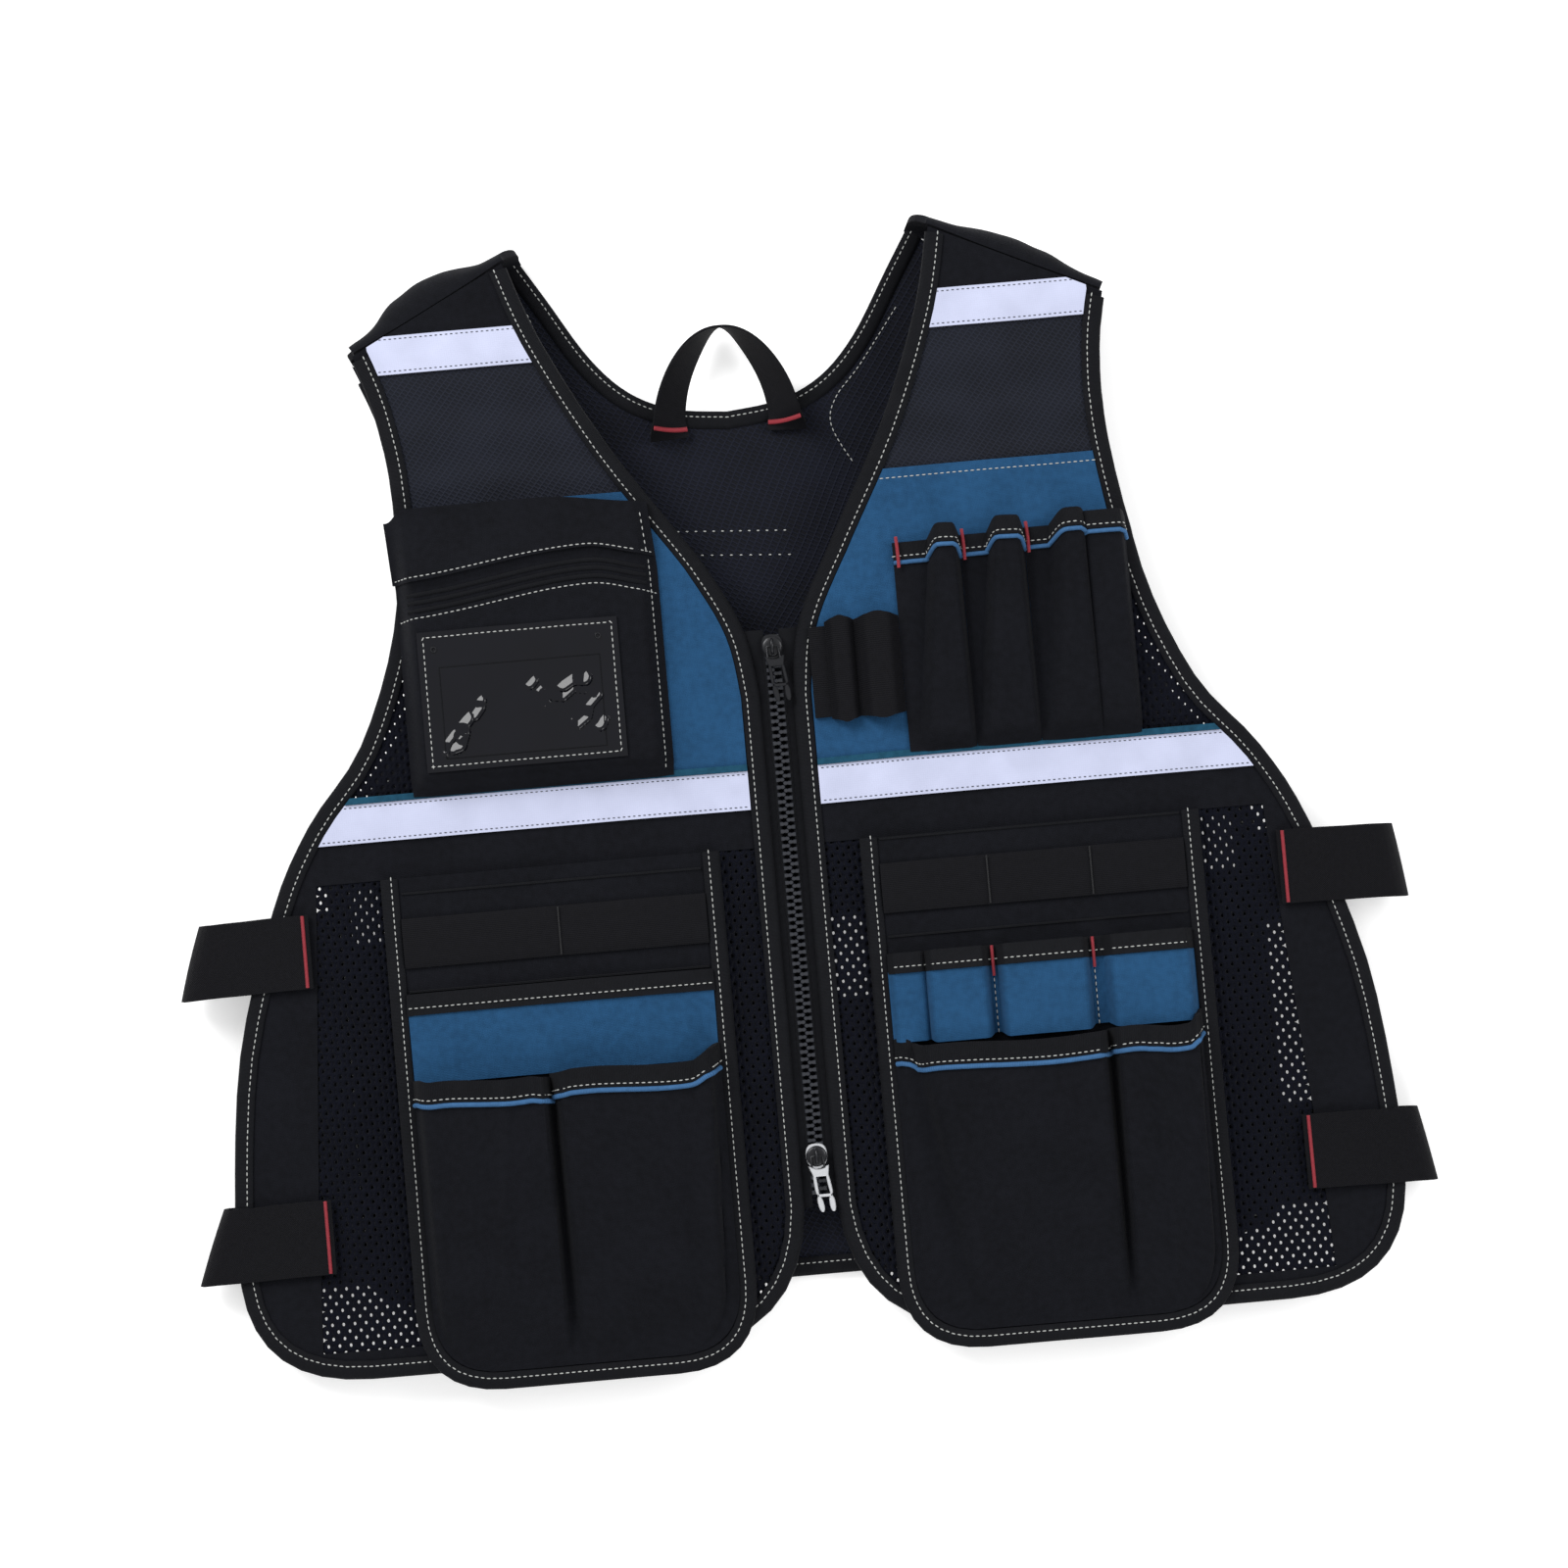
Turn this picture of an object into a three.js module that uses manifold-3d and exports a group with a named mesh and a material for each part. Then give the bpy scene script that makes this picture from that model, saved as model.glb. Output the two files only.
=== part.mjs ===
// Utility work vest with reflective bands, tool pockets and a two-way front zip.
// It lies on its back, front up. Units are millimetres, +Z is up, +Y runs to the neck.
// Left and right are as seen by someone who looks down on the fronts.
import * as THREE from "three";
import { mergeVertices } from "three/addons/utils/BufferGeometryUtils.js";
import Module from "manifold-3d";

const wasm = await Module();
wasm.setup();
const { lerp, degToRad } = THREE.MathUtils;

// Overall sizes of the vest as it lies
const FRONT_LENGTH = 573; // hem to the neck end of the shoulder
const HALF_WIDTH = 298; // zip axis to the side edge, at the widest
const FRONT_RISE = 28; // underside of the fronts above the ground, at the shoulders
const CROWN_RISE = 5; // how far the fronts arch between zip and side

// Cloth, tape and air
const CLOTH = 2; // fronts
const BACK_CLOTH = 3; // spacer mesh of the back
const TRIM = 1.2; // overlays, pockets and bindings
const NET = 1; // net of the fronts
const WEBBING = 1.5;
const GAP = 0.3; // air between sewn layers
const BINDING_WIDTH = 8;

// Zip
const CHAIN_WIDTH = 7.6;
const CHAIN_THICK = 3.4;
const TOOTH_PITCH = 3.8;
const TAPE_WIDTH = 12; // of one zip tape
const TAPE_SHOWS = 6.2; // tape seen between the chain and the front's edge
const SLIDER_LENGTH = 13;
const SLIDER_WIDTH = 11;
const SLIDER_THICK = 2.2;
const PULL_LENGTH = 29;
const PULL_WIDTH = 7.2;
const PULL_THICK = 1.4;

// Shoulders
const SHOULDER_DEPTH = 8; // seam line of front and back to the shoulder's fold
const SHOULDER_WALL = 4; // padded
const SHOULDER_PUFF = 6;

// Bands, webbing, straps and loop
const BAND_WIDTH = 20;
const PALS_WIDTH = 25; // flat webbing on the pocket panels
const STRAP_WIDTH = 38;
const STRAP_SEWN = 49; // length of a side strap on the front
const STRAP_OUT = 14; // reach of its fold past the widest side edge
const STRAP_TAIL = 28; // its length on the back
const LOOP_WIDTH = 20;
const LOOP_HALF_SPAN = 31;
const LOOP_HEIGHT = 58;

// Pocket panels, one on each front
const PANEL_START = 37; // zip axis to the panel's inner edge
const PANEL_WIDTH = 173;
const PANEL_DROP = 11; // the panels hang below the hem
const PANEL_CORNER = 42;

// Chest pockets
const TOOL_START = 66;
const TOOL_WIDTH = 120;
const TOOL_HEIGHT = 104;
const TOOL_DEPTH = 11;
const PEN_START = 21;
const PEN_WIDTH = 43;
const PEN_HEIGHT = 50;
const PEN_DEPTH = 8;
const BADGE_START = 56;
const BADGE_WIDTH = 134;
const BADGE_HEIGHT = 142;
const BADGE_DEPTH = 11;
const WINDOW_WIDTH = 104;
const WINDOW_HEIGHT = 70;

// Lower pockets
const POCKET_DEPTH = 13;
const STRIP_HEIGHT = 38; // blue pocket and blue loops above the lower pockets
const STRIP_DEPTH = 8;

// Heights above the hem, as shares of FRONT_LENGTH
const LOWER_STRAP = FRONT_LENGTH * 0.1265; // middle of the lower straps
const LOWER_MOUTH = FRONT_LENGTH * 0.2565; // mouths of the lower pockets
const LEFT_PALS = FRONT_LENGTH * 0.3595; // lower edge of the webbing, left and right panel
const RIGHT_PALS = FRONT_LENGTH * 0.3717;
const UPPER_STRAP = FRONT_LENGTH * 0.382; // middle of the upper straps
const PANEL_TOP = FRONT_LENGTH * 0.44;
const CHEST_BAND = FRONT_LENGTH * 0.4747; // lower edge of the chest band
const CHEST_TOP = FRONT_LENGTH * 0.7696; // top of the blue chest panels
const SHOULDER_BAND = FRONT_LENGTH * 0.8935; // lower edge of the shoulder bands

// Worked out from the sizes above
const CHAIN_HALF = CHAIN_WIDTH / 2;
const ZIP_HALF = CHAIN_HALF + TAPE_SHOWS;
const LAYER_1 = CLOTH + GAP; // bindings, bands and chest panels
const LAYER_2 = LAYER_1 + TRIM + GAP; // chest pockets and pocket panels
const LAYER_3 = LAYER_2 + TRIM + GAP; // what is sewn on the pocket panels
const CHAIN_DROP = CHAIN_THICK * 0.65; // the chain sinks this far below the fronts
const BINDING_OVER = TRIM + GAP; // a binding stands this far outside the edge it covers
const BINDING_CLEAR = BINDING_WIDTH + GAP;
const CHEST_BOTTOM = CHEST_BAND + BAND_WIDTH + GAP;
const TALL = 200; // height of the cutting prisms
const MARGIN = 5; // by which a sheet is larger than its outline before it is cut

// Fall of the fronts from shoulder to hem: shares of FRONT_LENGTH and FRONT_RISE
const FALL = [
  { up: -0.2, rise: 0.4 },
  { up: 0.16, rise: 0.5 },
  { up: 0.54, rise: 0.74 },
  { up: 0.8, rise: 0.92 },
  { up: 1.2, rise: 1 },
];
// Arch of each front from zip to side: shares of HALF_WIDTH and CROWN_RISE
const CROWN = [
  { across: 0, rise: 0 },
  { across: 0.06, rise: 0 },
  { across: 0.24, rise: 1 },
  { across: 0.72, rise: 0.9 },
  { across: 1, rise: 0 },
  { across: 1.2, rise: 0 },
];
// Edge of a front, from the shoulder down the neck: shares of HALF_WIDTH and FRONT_LENGTH
const NECKLINE = [
  { across: 0.378, up: 1 },
  { across: 0.332, up: 0.915 },
  { across: 0.238, up: 0.808 },
  { across: 0.112, up: 0.7 },
  { across: 0.052, up: 0.636 },
];
const ZIP_TOP = 0.576; // share of FRONT_LENGTH where the neckline meets the zip
const HEM_CORNER = { across: 0.282, up: 0.115, pull: 0.05 };
const SIDE_CORNER = { across: 0.79, up: 0.089, pull: 0.985 };
const BACK_EDGE = 0.806; // share of HALF_WIDTH where the back ends below the armhole
const BACK_SEAM = 0.882; // share of FRONT_LENGTH where the back's shoulder panels begin
// Side and armhole of a front, from the side corner up to the shoulder
const SIDE = [
  { across: 1, up: 0.089 },
  { across: 1, up: 0.159 },
  { across: 0.97, up: 0.293 },
  { across: 0.893, up: 0.42 },
  { across: 0.82, up: 0.492 },
  { across: 0.718, up: 0.56 },
  { across: 0.644, up: 0.661 },
  { across: 0.617, up: 0.778 },
  { across: 0.627, up: 0.862 },
  { across: 0.66, up: 0.927 },
];
// Half of the back's neck, and its armhole, side and hem corner
const BACK_NECK = [
  { across: 0.378, up: 1 },
  { across: 0.325, up: 0.955 },
  { across: 0.255, up: 0.895 },
  { across: 0.185, up: 0.857 },
  { across: 0.1, up: 0.836 },
  { across: 0, up: 0.829 },
];
const BACK_SIDE = [
  { across: 0.66, up: 0.927 },
  { across: 0.6, up: 0.84 },
  { across: 0.585, up: 0.74 },
  { across: 0.62, up: 0.62 },
  { across: 0.72, up: 0.52 },
  { across: 0.8, up: 0.45 },
  { across: BACK_EDGE, up: 0.3 },
  { across: BACK_EDGE, up: 0.12 },
  { across: 0.77, up: 0.07 },
  { across: 0.68, up: 0.056 },
];
// Outer edge of the side net
const SIDE_NET_EDGE = [
  { across: 0.872, up: 0.023 },
  { across: 0.859, up: 0.157 },
  { across: 0.819, up: 0.44 },
];
// Stand of a pocket's wall off its panel, by its width and by its height, in shares
const POCKET_ACROSS = [
  { share: 0, stand: 0 },
  { share: 0.08, stand: 0 },
  { share: 0.24, stand: 1 },
  { share: 0.76, stand: 1 },
  { share: 0.92, stand: 0 },
  { share: 1, stand: 0 },
];
const POCKET_UP = [
  { share: 0, stand: 0 },
  { share: 0.05, stand: 0 },
  { share: 0.2, stand: 0.5 },
  { share: 1, stand: 1 },
];
const LOOP_UP = [
  { share: 0, stand: 1 },
  { share: 1, stand: 1 },
];
const BOX_ACROSS = [
  { share: 0, stand: 0 },
  { share: 0.04, stand: 0 },
  { share: 0.1, stand: 1 },
  { share: 0.9, stand: 1 },
  { share: 0.96, stand: 0 },
  { share: 1, stand: 0 },
];
// Puff of the padded shoulder along its fold
const SHOULDER_ROLL = [
  { along: 0, puff: 0 },
  { along: 0.25, puff: 0.8 },
  { along: 0.5, puff: 1 },
  { along: 0.75, puff: 0.7 },
  { along: 1, puff: 0 },
];

// Colours
const BLACK = 0x1c1d23;
const NET_BLACK = 0x191b26;
const BLUE = 0x2b5a8c;
const SILVER_TAPE = 0xc8cde4;
const VINYL = 0x2b2e38;
const METAL = 0xd8d8dc;

const vest = new THREE.Group();

// Helpers for outlines

const at = ({ across, up }) => new THREE.Vector2(across * HALF_WIDTH, up * FRONT_LENGTH);
const flip = (outline, side) => outline.map((p) => new THREE.Vector2(side * p.x, p.y));
const smooth = (points, pieces) => new THREE.SplineCurve(points).getPoints(pieces);

function rectangle(x0, y0, x1, y1) {
  return [
    new THREE.Vector2(x0, y0),
    new THREE.Vector2(x1, y0),
    new THREE.Vector2(x1, y1),
    new THREE.Vector2(x0, y1),
  ];
}

// Value of one column at a share of another, straight between the rows.
function read(rows, from, to, share) {
  const last = rows.length - 1;
  const end = rows.findIndex((row, i) => i > 0 && (share <= row[from] || i === last));
  const a = rows[end - 1];
  const b = rows[end];
  return lerp(a[to], b[to], (share - a[from]) / (b[from] - a[from]));
}

// Moves a path to its left by a distance and keeps its corners sharp.
function shift(path, distance, closed = true) {
  const normal = (a, b) => new THREE.Vector2(a.y - b.y, b.x - a.x).normalize();
  return path.map((point, i) => {
    const before = path[i - 1] ?? (closed ? path.at(-1) : undefined);
    const after = path[i + 1] ?? (closed ? path[0] : undefined);
    const n1 = before ? normal(before, point) : normal(point, after);
    const n2 = after ? normal(point, after) : n1;
    const miter = n1.clone().add(n2);
    return point.clone().addScaledVector(miter, distance / (1 + n1.dot(n2)));
  });
}

// Strip between two distances from an open path.
const strip = (path, near, far) => [
  ...shift(path, near, false),
  ...shift(path, far, false).reverse(),
];

// Helpers for solids

function toSolid(geometry) {
  geometry.deleteAttribute("normal");
  geometry.deleteAttribute("uv");
  const merged = mergeVertices(geometry, 1e-4);
  return new wasm.Manifold(
    new wasm.Mesh({
      numProp: 3,
      vertProperties: new Float32Array(merged.attributes.position.array),
      triVerts: new Uint32Array(merged.index.array),
    }),
  );
}

function addNode(name, solid, color, roughness = 0.85, metalness = 0) {
  const mesh = solid.getMesh();
  const geometry = new THREE.BufferGeometry();
  geometry.setAttribute("position", new THREE.BufferAttribute(mesh.vertProperties, 3));
  geometry.setIndex(new THREE.BufferAttribute(mesh.triVerts, 1));
  geometry.computeVertexNormals();
  const material = new THREE.MeshStandardMaterial({ color, roughness, metalness });
  const node = new THREE.Mesh(geometry, material);
  node.name = name;
  vest.add(node);
}

function prism(outline, low = -TALL / 4, high = TALL) {
  const options = { depth: high - low, bevelEnabled: false };
  return toSolid(new THREE.ExtrudeGeometry(new THREE.Shape(outline), options).translate(0, 0, low));
}

// Sheet over a grid, whose underside is at height(x, y).
function sheet(xs, ys, height, thick) {
  const positions = [];
  for (const rise of [0, thick]) {
    for (const y of ys) {
      for (const x of xs) positions.push(x, y, height(x, y) + rise);
    }
  }
  const layer = xs.length * ys.length;
  const index = [];
  const quad = (a, b, c, d) => index.push(a, b, c, a, c, d);
  for (let j = 0; j < ys.length - 1; j++) {
    for (let i = 0; i < xs.length - 1; i++) {
      const a = j * xs.length + i;
      const b = a + xs.length;
      quad(a, b, b + 1, a + 1);
      quad(layer + a, layer + a + 1, layer + b + 1, layer + b);
    }
  }
  const wall = (a, b) => quad(a, b, b + layer, a + layer);
  const lastRow = layer - xs.length;
  for (let i = 0; i < xs.length - 1; i++) {
    wall(i, i + 1);
    wall(lastRow + i + 1, lastRow + i);
  }
  for (let j = 0; j < ys.length - 1; j++) {
    const a = j * xs.length;
    wall(a + xs.length, a);
    wall(a + xs.length - 1, a + 2 * xs.length - 1);
  }
  const geometry = new THREE.BufferGeometry();
  geometry.setAttribute("position", new THREE.Float32BufferAttribute(positions, 3));
  geometry.setIndex(index);
  return toSolid(geometry);
}

// Solid through cross-sections of as many points each, closed at both ends.
function loft(sections, contour) {
  const count = contour.length;
  const last = (sections.length - 1) * count;
  const index = [];
  for (let row = 0; row < last; row += count) {
    for (let i = 0; i < count; i++) {
      const a = row + i;
      const b = row + ((i + 1) % count);
      index.push(a, b, b + count, a, b + count, a + count);
    }
  }
  const turned = THREE.ShapeUtils.isClockWise(contour);
  const order = contour.map((_, i) => (turned ? count - 1 - i : i));
  for (const face of THREE.ShapeUtils.triangulateShape(order.map((i) => contour[i]), [])) {
    const [a, b, c] = face.map((i) => order[i]);
    index.push(...(turned ? [a, b, c, last + a, last + c, last + b] : [a, c, b, last + a, last + b, last + c]));
  }
  const points = sections.flat();
  const solid = (faces) => toSolid(new THREE.BufferGeometry().setFromPoints(points).setIndex(faces));
  const first = solid(index);
  return first.volume() > 0 ? first : solid(index.reverse());
}

// Height of the fronts' underside, arched from zip to side and falling to the hem.
const restHeight = (x, y) =>
  FRONT_RISE * read(FALL, "up", "rise", y / FRONT_LENGTH) +
  CROWN_RISE * read(CROWN, "across", "rise", Math.abs(x) / HALF_WIDTH);

const FALL_LINES = FALL.map((row) => row.up * FRONT_LENGTH);
const CROWN_LINES = CROWN.flatMap((row) => [row.across * HALF_WIDTH, -row.across * HALF_WIDTH]);
const FLAT = { xs: [], ys: [], at: () => 0 };

function gridLines(low, high, inner) {
  const kept = inner.filter((v) => v > low + GAP && v < high - GAP).sort((a, b) => a - b);
  return [low, ...kept.filter((v, i) => i === 0 || v - kept[i - 1] > GAP), high];
}

// Piece of cloth that lies on the fronts, `from` above their underside.
function drape(outline, from, thick = TRIM, stand = FLAT) {
  const box = new THREE.Box2().setFromPoints(outline).expandByScalar(MARGIN);
  const xs = gridLines(box.min.x, box.max.x, [...CROWN_LINES, ...stand.xs]);
  const ys = gridLines(box.min.y, box.max.y, [...FALL_LINES, ...stand.ys]);
  const height = (x, y) => restHeight(x, y) + from + stand.at(x, y);
  return sheet(xs, ys, height, thick).intersect(prism(outline));
}

// How a pocket or loop stands off its panel between its seams.
function standOff([x0, y0, x1, y1], depth, across = POCKET_ACROSS, up = POCKET_UP) {
  const clamp = (v) => Math.min(1, Math.max(0, v));
  return {
    xs: across.map((row) => lerp(x0, x1, row.share)),
    ys: up.map((row) => lerp(y0, y1, row.share)),
    at: (x, y) =>
      depth *
      read(across, "share", "stand", clamp((x - x0) / (x1 - x0))) *
      read(up, "share", "stand", clamp((y - y0) / (y1 - y0))),
  };
}

// Outlines of the fronts and the back

function frontPath() {
  const zipTop = new THREE.Vector2(ZIP_HALF, ZIP_TOP * FRONT_LENGTH);
  const zipEnd = new THREE.Vector2(ZIP_HALF, HEM_CORNER.up * FRONT_LENGTH);
  const hemStart = new THREE.Vector2(HEM_CORNER.across * HALF_WIDTH, 0);
  const hemPull = new THREE.Vector2(HEM_CORNER.pull * HALF_WIDTH, 0);
  const hemEnd = new THREE.Vector2(SIDE_CORNER.across * HALF_WIDTH, 0);
  const sidePull = new THREE.Vector2(SIDE_CORNER.pull * HALF_WIDTH, 0);
  const side = SIDE.map(at);
  return [
    ...smooth([...NECKLINE.map(at), zipTop], 8),
    ...new THREE.QuadraticBezierCurve(zipEnd, hemPull, hemStart).getPoints(4),
    ...new THREE.QuadraticBezierCurve(hemEnd, sidePull, side[0]).getPoints(4).slice(0, -1),
    ...smooth(side, 14),
  ];
}

const FRONT_PATH = frontPath();
const SHOULDER_IN = FRONT_PATH[0];
const SHOULDER_OUT = FRONT_PATH.at(-1);
const SHOULDER_LINE = SHOULDER_OUT.clone().sub(SHOULDER_IN);
const SHOULDER_NORMAL = new THREE.Vector2(-SHOULDER_LINE.y, SHOULDER_LINE.x).normalize();

// Everything past the seam between a front and its padded shoulder.
function beyondSeam(side, clearance = 0) {
  const seam = clearance - SHOULDER_DEPTH;
  const along = SHOULDER_LINE.clone().setLength(MARGIN * 2);
  const inner = SHOULDER_IN.clone().sub(along).addScaledVector(SHOULDER_NORMAL, seam);
  const outer = SHOULDER_OUT.clone().add(along).addScaledVector(SHOULDER_NORMAL, seam);
  const away = SHOULDER_NORMAL.clone().multiplyScalar(SHOULDER_DEPTH * 4);
  return prism(flip([inner, outer, outer.clone().add(away), inner.clone().add(away)], side));
}

const panelPath = () => {
  const end = PANEL_START + PANEL_WIDTH;
  const low = PANEL_CORNER - PANEL_DROP;
  const corner = (x, side) => [
    new THREE.Vector2(x, low),
    new THREE.Vector2(x, -PANEL_DROP),
    new THREE.Vector2(x + side * PANEL_CORNER, -PANEL_DROP),
  ];
  return [
    new THREE.Vector2(PANEL_START, PANEL_TOP),
    ...new THREE.QuadraticBezierCurve(...corner(PANEL_START, 1)).getPoints(4),
    ...new THREE.QuadraticBezierCurve(...corner(end, -1).reverse()).getPoints(4),
    new THREE.Vector2(end, PANEL_TOP),
  ];
};
const PANEL_PATH = panelPath();
const PANEL_END = PANEL_START + PANEL_WIDTH;

// Windows of net in a front: between pocket panel and side, along the zip, and at the armhole
const NET_TUCK = 6; // net hidden under the pocket panel
const SIDE_NET = [
  new THREE.Vector2(PANEL_END - NET_TUCK, BINDING_WIDTH + MARGIN),
  ...SIDE_NET_EDGE.map(at),
  new THREE.Vector2(PANEL_END - NET_TUCK, PANEL_TOP),
];
const CENTRE_NET = rectangle(ZIP_HALF, 0, PANEL_START + NET_TUCK, PANEL_TOP);
const ARM_NET = [
  new THREE.Vector2(TOOL_START + TOOL_WIDTH + GAP, CHEST_BOTTOM),
  new THREE.Vector2(HALF_WIDTH, CHEST_BOTTOM),
  new THREE.Vector2(TOOL_START + TOOL_WIDTH + GAP, CHEST_BOTTOM + PEN_HEIGHT * 1.6),
];
const NET_WINDOWS = { side_net: SIDE_NET, centre_net: CENTRE_NET, armhole_net: ARM_NET };

// Pieces of one front; side is -1 for the left and 1 for the right

function front(side) {
  const inner = prism(flip(shift(FRONT_PATH, BINDING_WIDTH - MARGIN / 2), side));
  const windows = Object.values(NET_WINDOWS).map((window) => prism(flip(window, side)).intersect(inner));
  const whole = drape(flip(FRONT_PATH, side), 0, CLOTH).subtract(beyondSeam(side));
  return windows.reduce((solid, window) => solid.subtract(window), whole);
}

// Net that fills one window, cut smaller than it by the gap.
function net(window, side) {
  const inner = prism(flip(shift(FRONT_PATH, BINDING_WIDTH - MARGIN / 2 + GAP), side));
  return drape(flip(shift(window, GAP), side), (CLOTH - NET) / 2, NET).intersect(inner);
}

function frontBinding(side) {
  const top = drape(flip(strip(FRONT_PATH, -BINDING_OVER, BINDING_WIDTH), side), LAYER_1);
  const edge = drape(flip(strip(FRONT_PATH, -BINDING_OVER, -GAP), side), 0, LAYER_1 + TRIM / 2);
  return top.add(edge).subtract(beyondSeam(side));
}

const insideBinding = (side) => prism(flip(shift(FRONT_PATH, BINDING_CLEAR), side));

function chestPanel(side) {
  const outline = rectangle(ZIP_HALF, CHEST_BOTTOM, TOOL_START + TOOL_WIDTH, CHEST_TOP);
  return drape(flip(outline, side), LAYER_1).intersect(insideBinding(side));
}

function band(side, low) {
  const outline = rectangle(ZIP_HALF, low, HALF_WIDTH, low + BAND_WIDTH);
  const tape = drape(flip(outline, side), LAYER_1);
  return tape.intersect(insideBinding(side)).subtract(beyondSeam(side));
}

function zipTape(side) {
  const low = HEM_CORNER.up * FRONT_LENGTH;
  const high = (ZIP_TOP + 0.06) * FRONT_LENGTH;
  const start = CHAIN_HALF + GAP;
  return drape(flip(rectangle(start, low, start + TAPE_WIDTH, high), side), -GAP - TRIM);
}

function pocketPanel(side) {
  return drape(flip(PANEL_PATH, side), LAYER_2);
}

function panelBinding(side) {
  return drape(flip(strip(PANEL_PATH, 0, BINDING_WIDTH), side), LAYER_3);
}

// Part of a pocket panel between two shares of the width inside its binding.
function onPanel(side, from, to, low, high) {
  const start = PANEL_START + BINDING_CLEAR;
  const width = PANEL_WIDTH - 2 * BINDING_CLEAR;
  const xs = [side * (start + width * from), side * (start + width * to)].sort((a, b) => a - b);
  return [xs[0] + GAP / 2, low, xs[1] - GAP / 2, high];
}

// Pocket or loop on a pocket panel, cut to the round corners inside the panel's binding.
function panelPocket(side, box, depth, up = POCKET_UP) {
  const cloth = drape(rectangle(...box), LAYER_3, TRIM, standOff(box, depth, POCKET_ACROSS, up));
  return cloth.intersect(prism(flip(shift(PANEL_PATH, BINDING_CLEAR), side)));
}

function palsWebbing(side, low) {
  const box = onPanel(side, 0, 1, low, low + PALS_WIDTH);
  return drape(rectangle(...box), LAYER_3, WEBBING);
}

// Elastic strap: sewn on the front, folded outside its edge and sewn to the back behind it.
function sideStrap(side, middle) {
  const foot = BACK_CLOTH + 2 * GAP + TRIM;
  const start = HALF_WIDTH - STRAP_SEWN;
  const reach = HALF_WIDTH + STRAP_OUT;
  const tail = HALF_WIDTH * BACK_EDGE - STRAP_TAIL;
  const contourAt = (y) => {
    const top = (x) => restHeight(x, y) + LAYER_2;
    const edge = HALF_WIDTH;
    const roof = top(edge) + WEBBING;
    const radius = (roof - foot) / 2;
    const fold = (r) =>
      [90, 54, 18, -18, -54, -90].map((degrees) => {
        const turn = degToRad(degrees);
        return [reach - radius + r * Math.cos(turn), foot + radius + r * Math.sin(turn)];
      });
    return [
      [start, top(start) + WEBBING],
      [edge, roof],
      ...fold(radius),
      [tail, foot],
      [tail, foot + WEBBING],
      ...fold(radius - WEBBING).reverse(),
      [edge, top(edge)],
      [start, top(start)],
    ].map(([x, z]) => new THREE.Vector2(side * x, z));
  };
  const ends = [middle - STRAP_WIDTH / 2, middle + STRAP_WIDTH / 2];
  const sections = ends.map((y) => contourAt(y).map((p) => new THREE.Vector3(p.x, y, p.y)));
  return loft(sections, contourAt(middle));
}

// Padded shoulder: a fold that joins front and back, puffed in its middle.
function shoulder(side) {
  const sectionAt = ({ along, puff }) => {
    const point = SHOULDER_IN.clone().lerp(SHOULDER_OUT, along);
    const seam = point.clone().addScaledVector(SHOULDER_NORMAL, GAP - SHOULDER_DEPTH);
    const high = (restHeight(seam.x, seam.y) + CLOTH) / 2;
    const reach = SHOULDER_DEPTH - GAP + SHOULDER_PUFF * puff;
    const arc = (inset) =>
      [90, 60, 30, 0, -30, -60, -90].map((degrees) => {
        const turn = degToRad(degrees);
        const out = (reach - inset) * Math.cos(turn);
        return new THREE.Vector2(out, high + (high - inset) * Math.sin(turn));
      });
    const contour = [...arc(0), ...arc(SHOULDER_WALL).reverse()];
    const place = (p) => {
      const plan = seam.clone().addScaledVector(SHOULDER_NORMAL, p.x);
      return new THREE.Vector3(side * plan.x, plan.y, p.y);
    };
    return { contour, points: contour.map(place) };
  };
  const sections = SHOULDER_ROLL.map(sectionAt);
  return loft(sections.map((s) => s.points), sections[0].contour);
}

// The back, its bindings and the hang loop

const backNeck = smooth(BACK_NECK.map(at), 8);
const backSide = smooth(BACK_SIDE.map(at), 12);
// Both paths have the back on their left.
const BACK_NECK_PATH = [...backNeck, ...flip(backNeck, -1).reverse().slice(1)];
const BACK_EDGE_PATH = [...flip(backSide, -1), ...backSide.reverse()];

// Part of the back inside an outline.
function backPiece(outline) {
  const whole = prism([...BACK_EDGE_PATH, ...BACK_NECK_PATH], 0, BACK_CLOTH);
  return whole.subtract(beyondSeam(-1)).subtract(beyondSeam(1)).intersect(prism(outline));
}

const backPanel = () => backPiece(rectangle(-HALF_WIDTH, 0, HALF_WIDTH, BACK_SEAM * FRONT_LENGTH));

function backShoulder(side) {
  const low = BACK_SEAM * FRONT_LENGTH + GAP;
  return backPiece(flip(rectangle(0, low, HALF_WIDTH, FRONT_LENGTH + MARGIN), side));
}

// Tape over a stretch of the back's edge.
function backBinding(path) {
  const low = BACK_CLOTH + GAP;
  const top = prism(strip(path, -BINDING_OVER, BINDING_WIDTH), low, low + TRIM);
  const edge = prism(strip(path, -BINDING_OVER, -GAP), 0, low + TRIM / 2);
  return top.add(edge).subtract(beyondSeam(-1)).subtract(beyondSeam(1));
}

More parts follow.
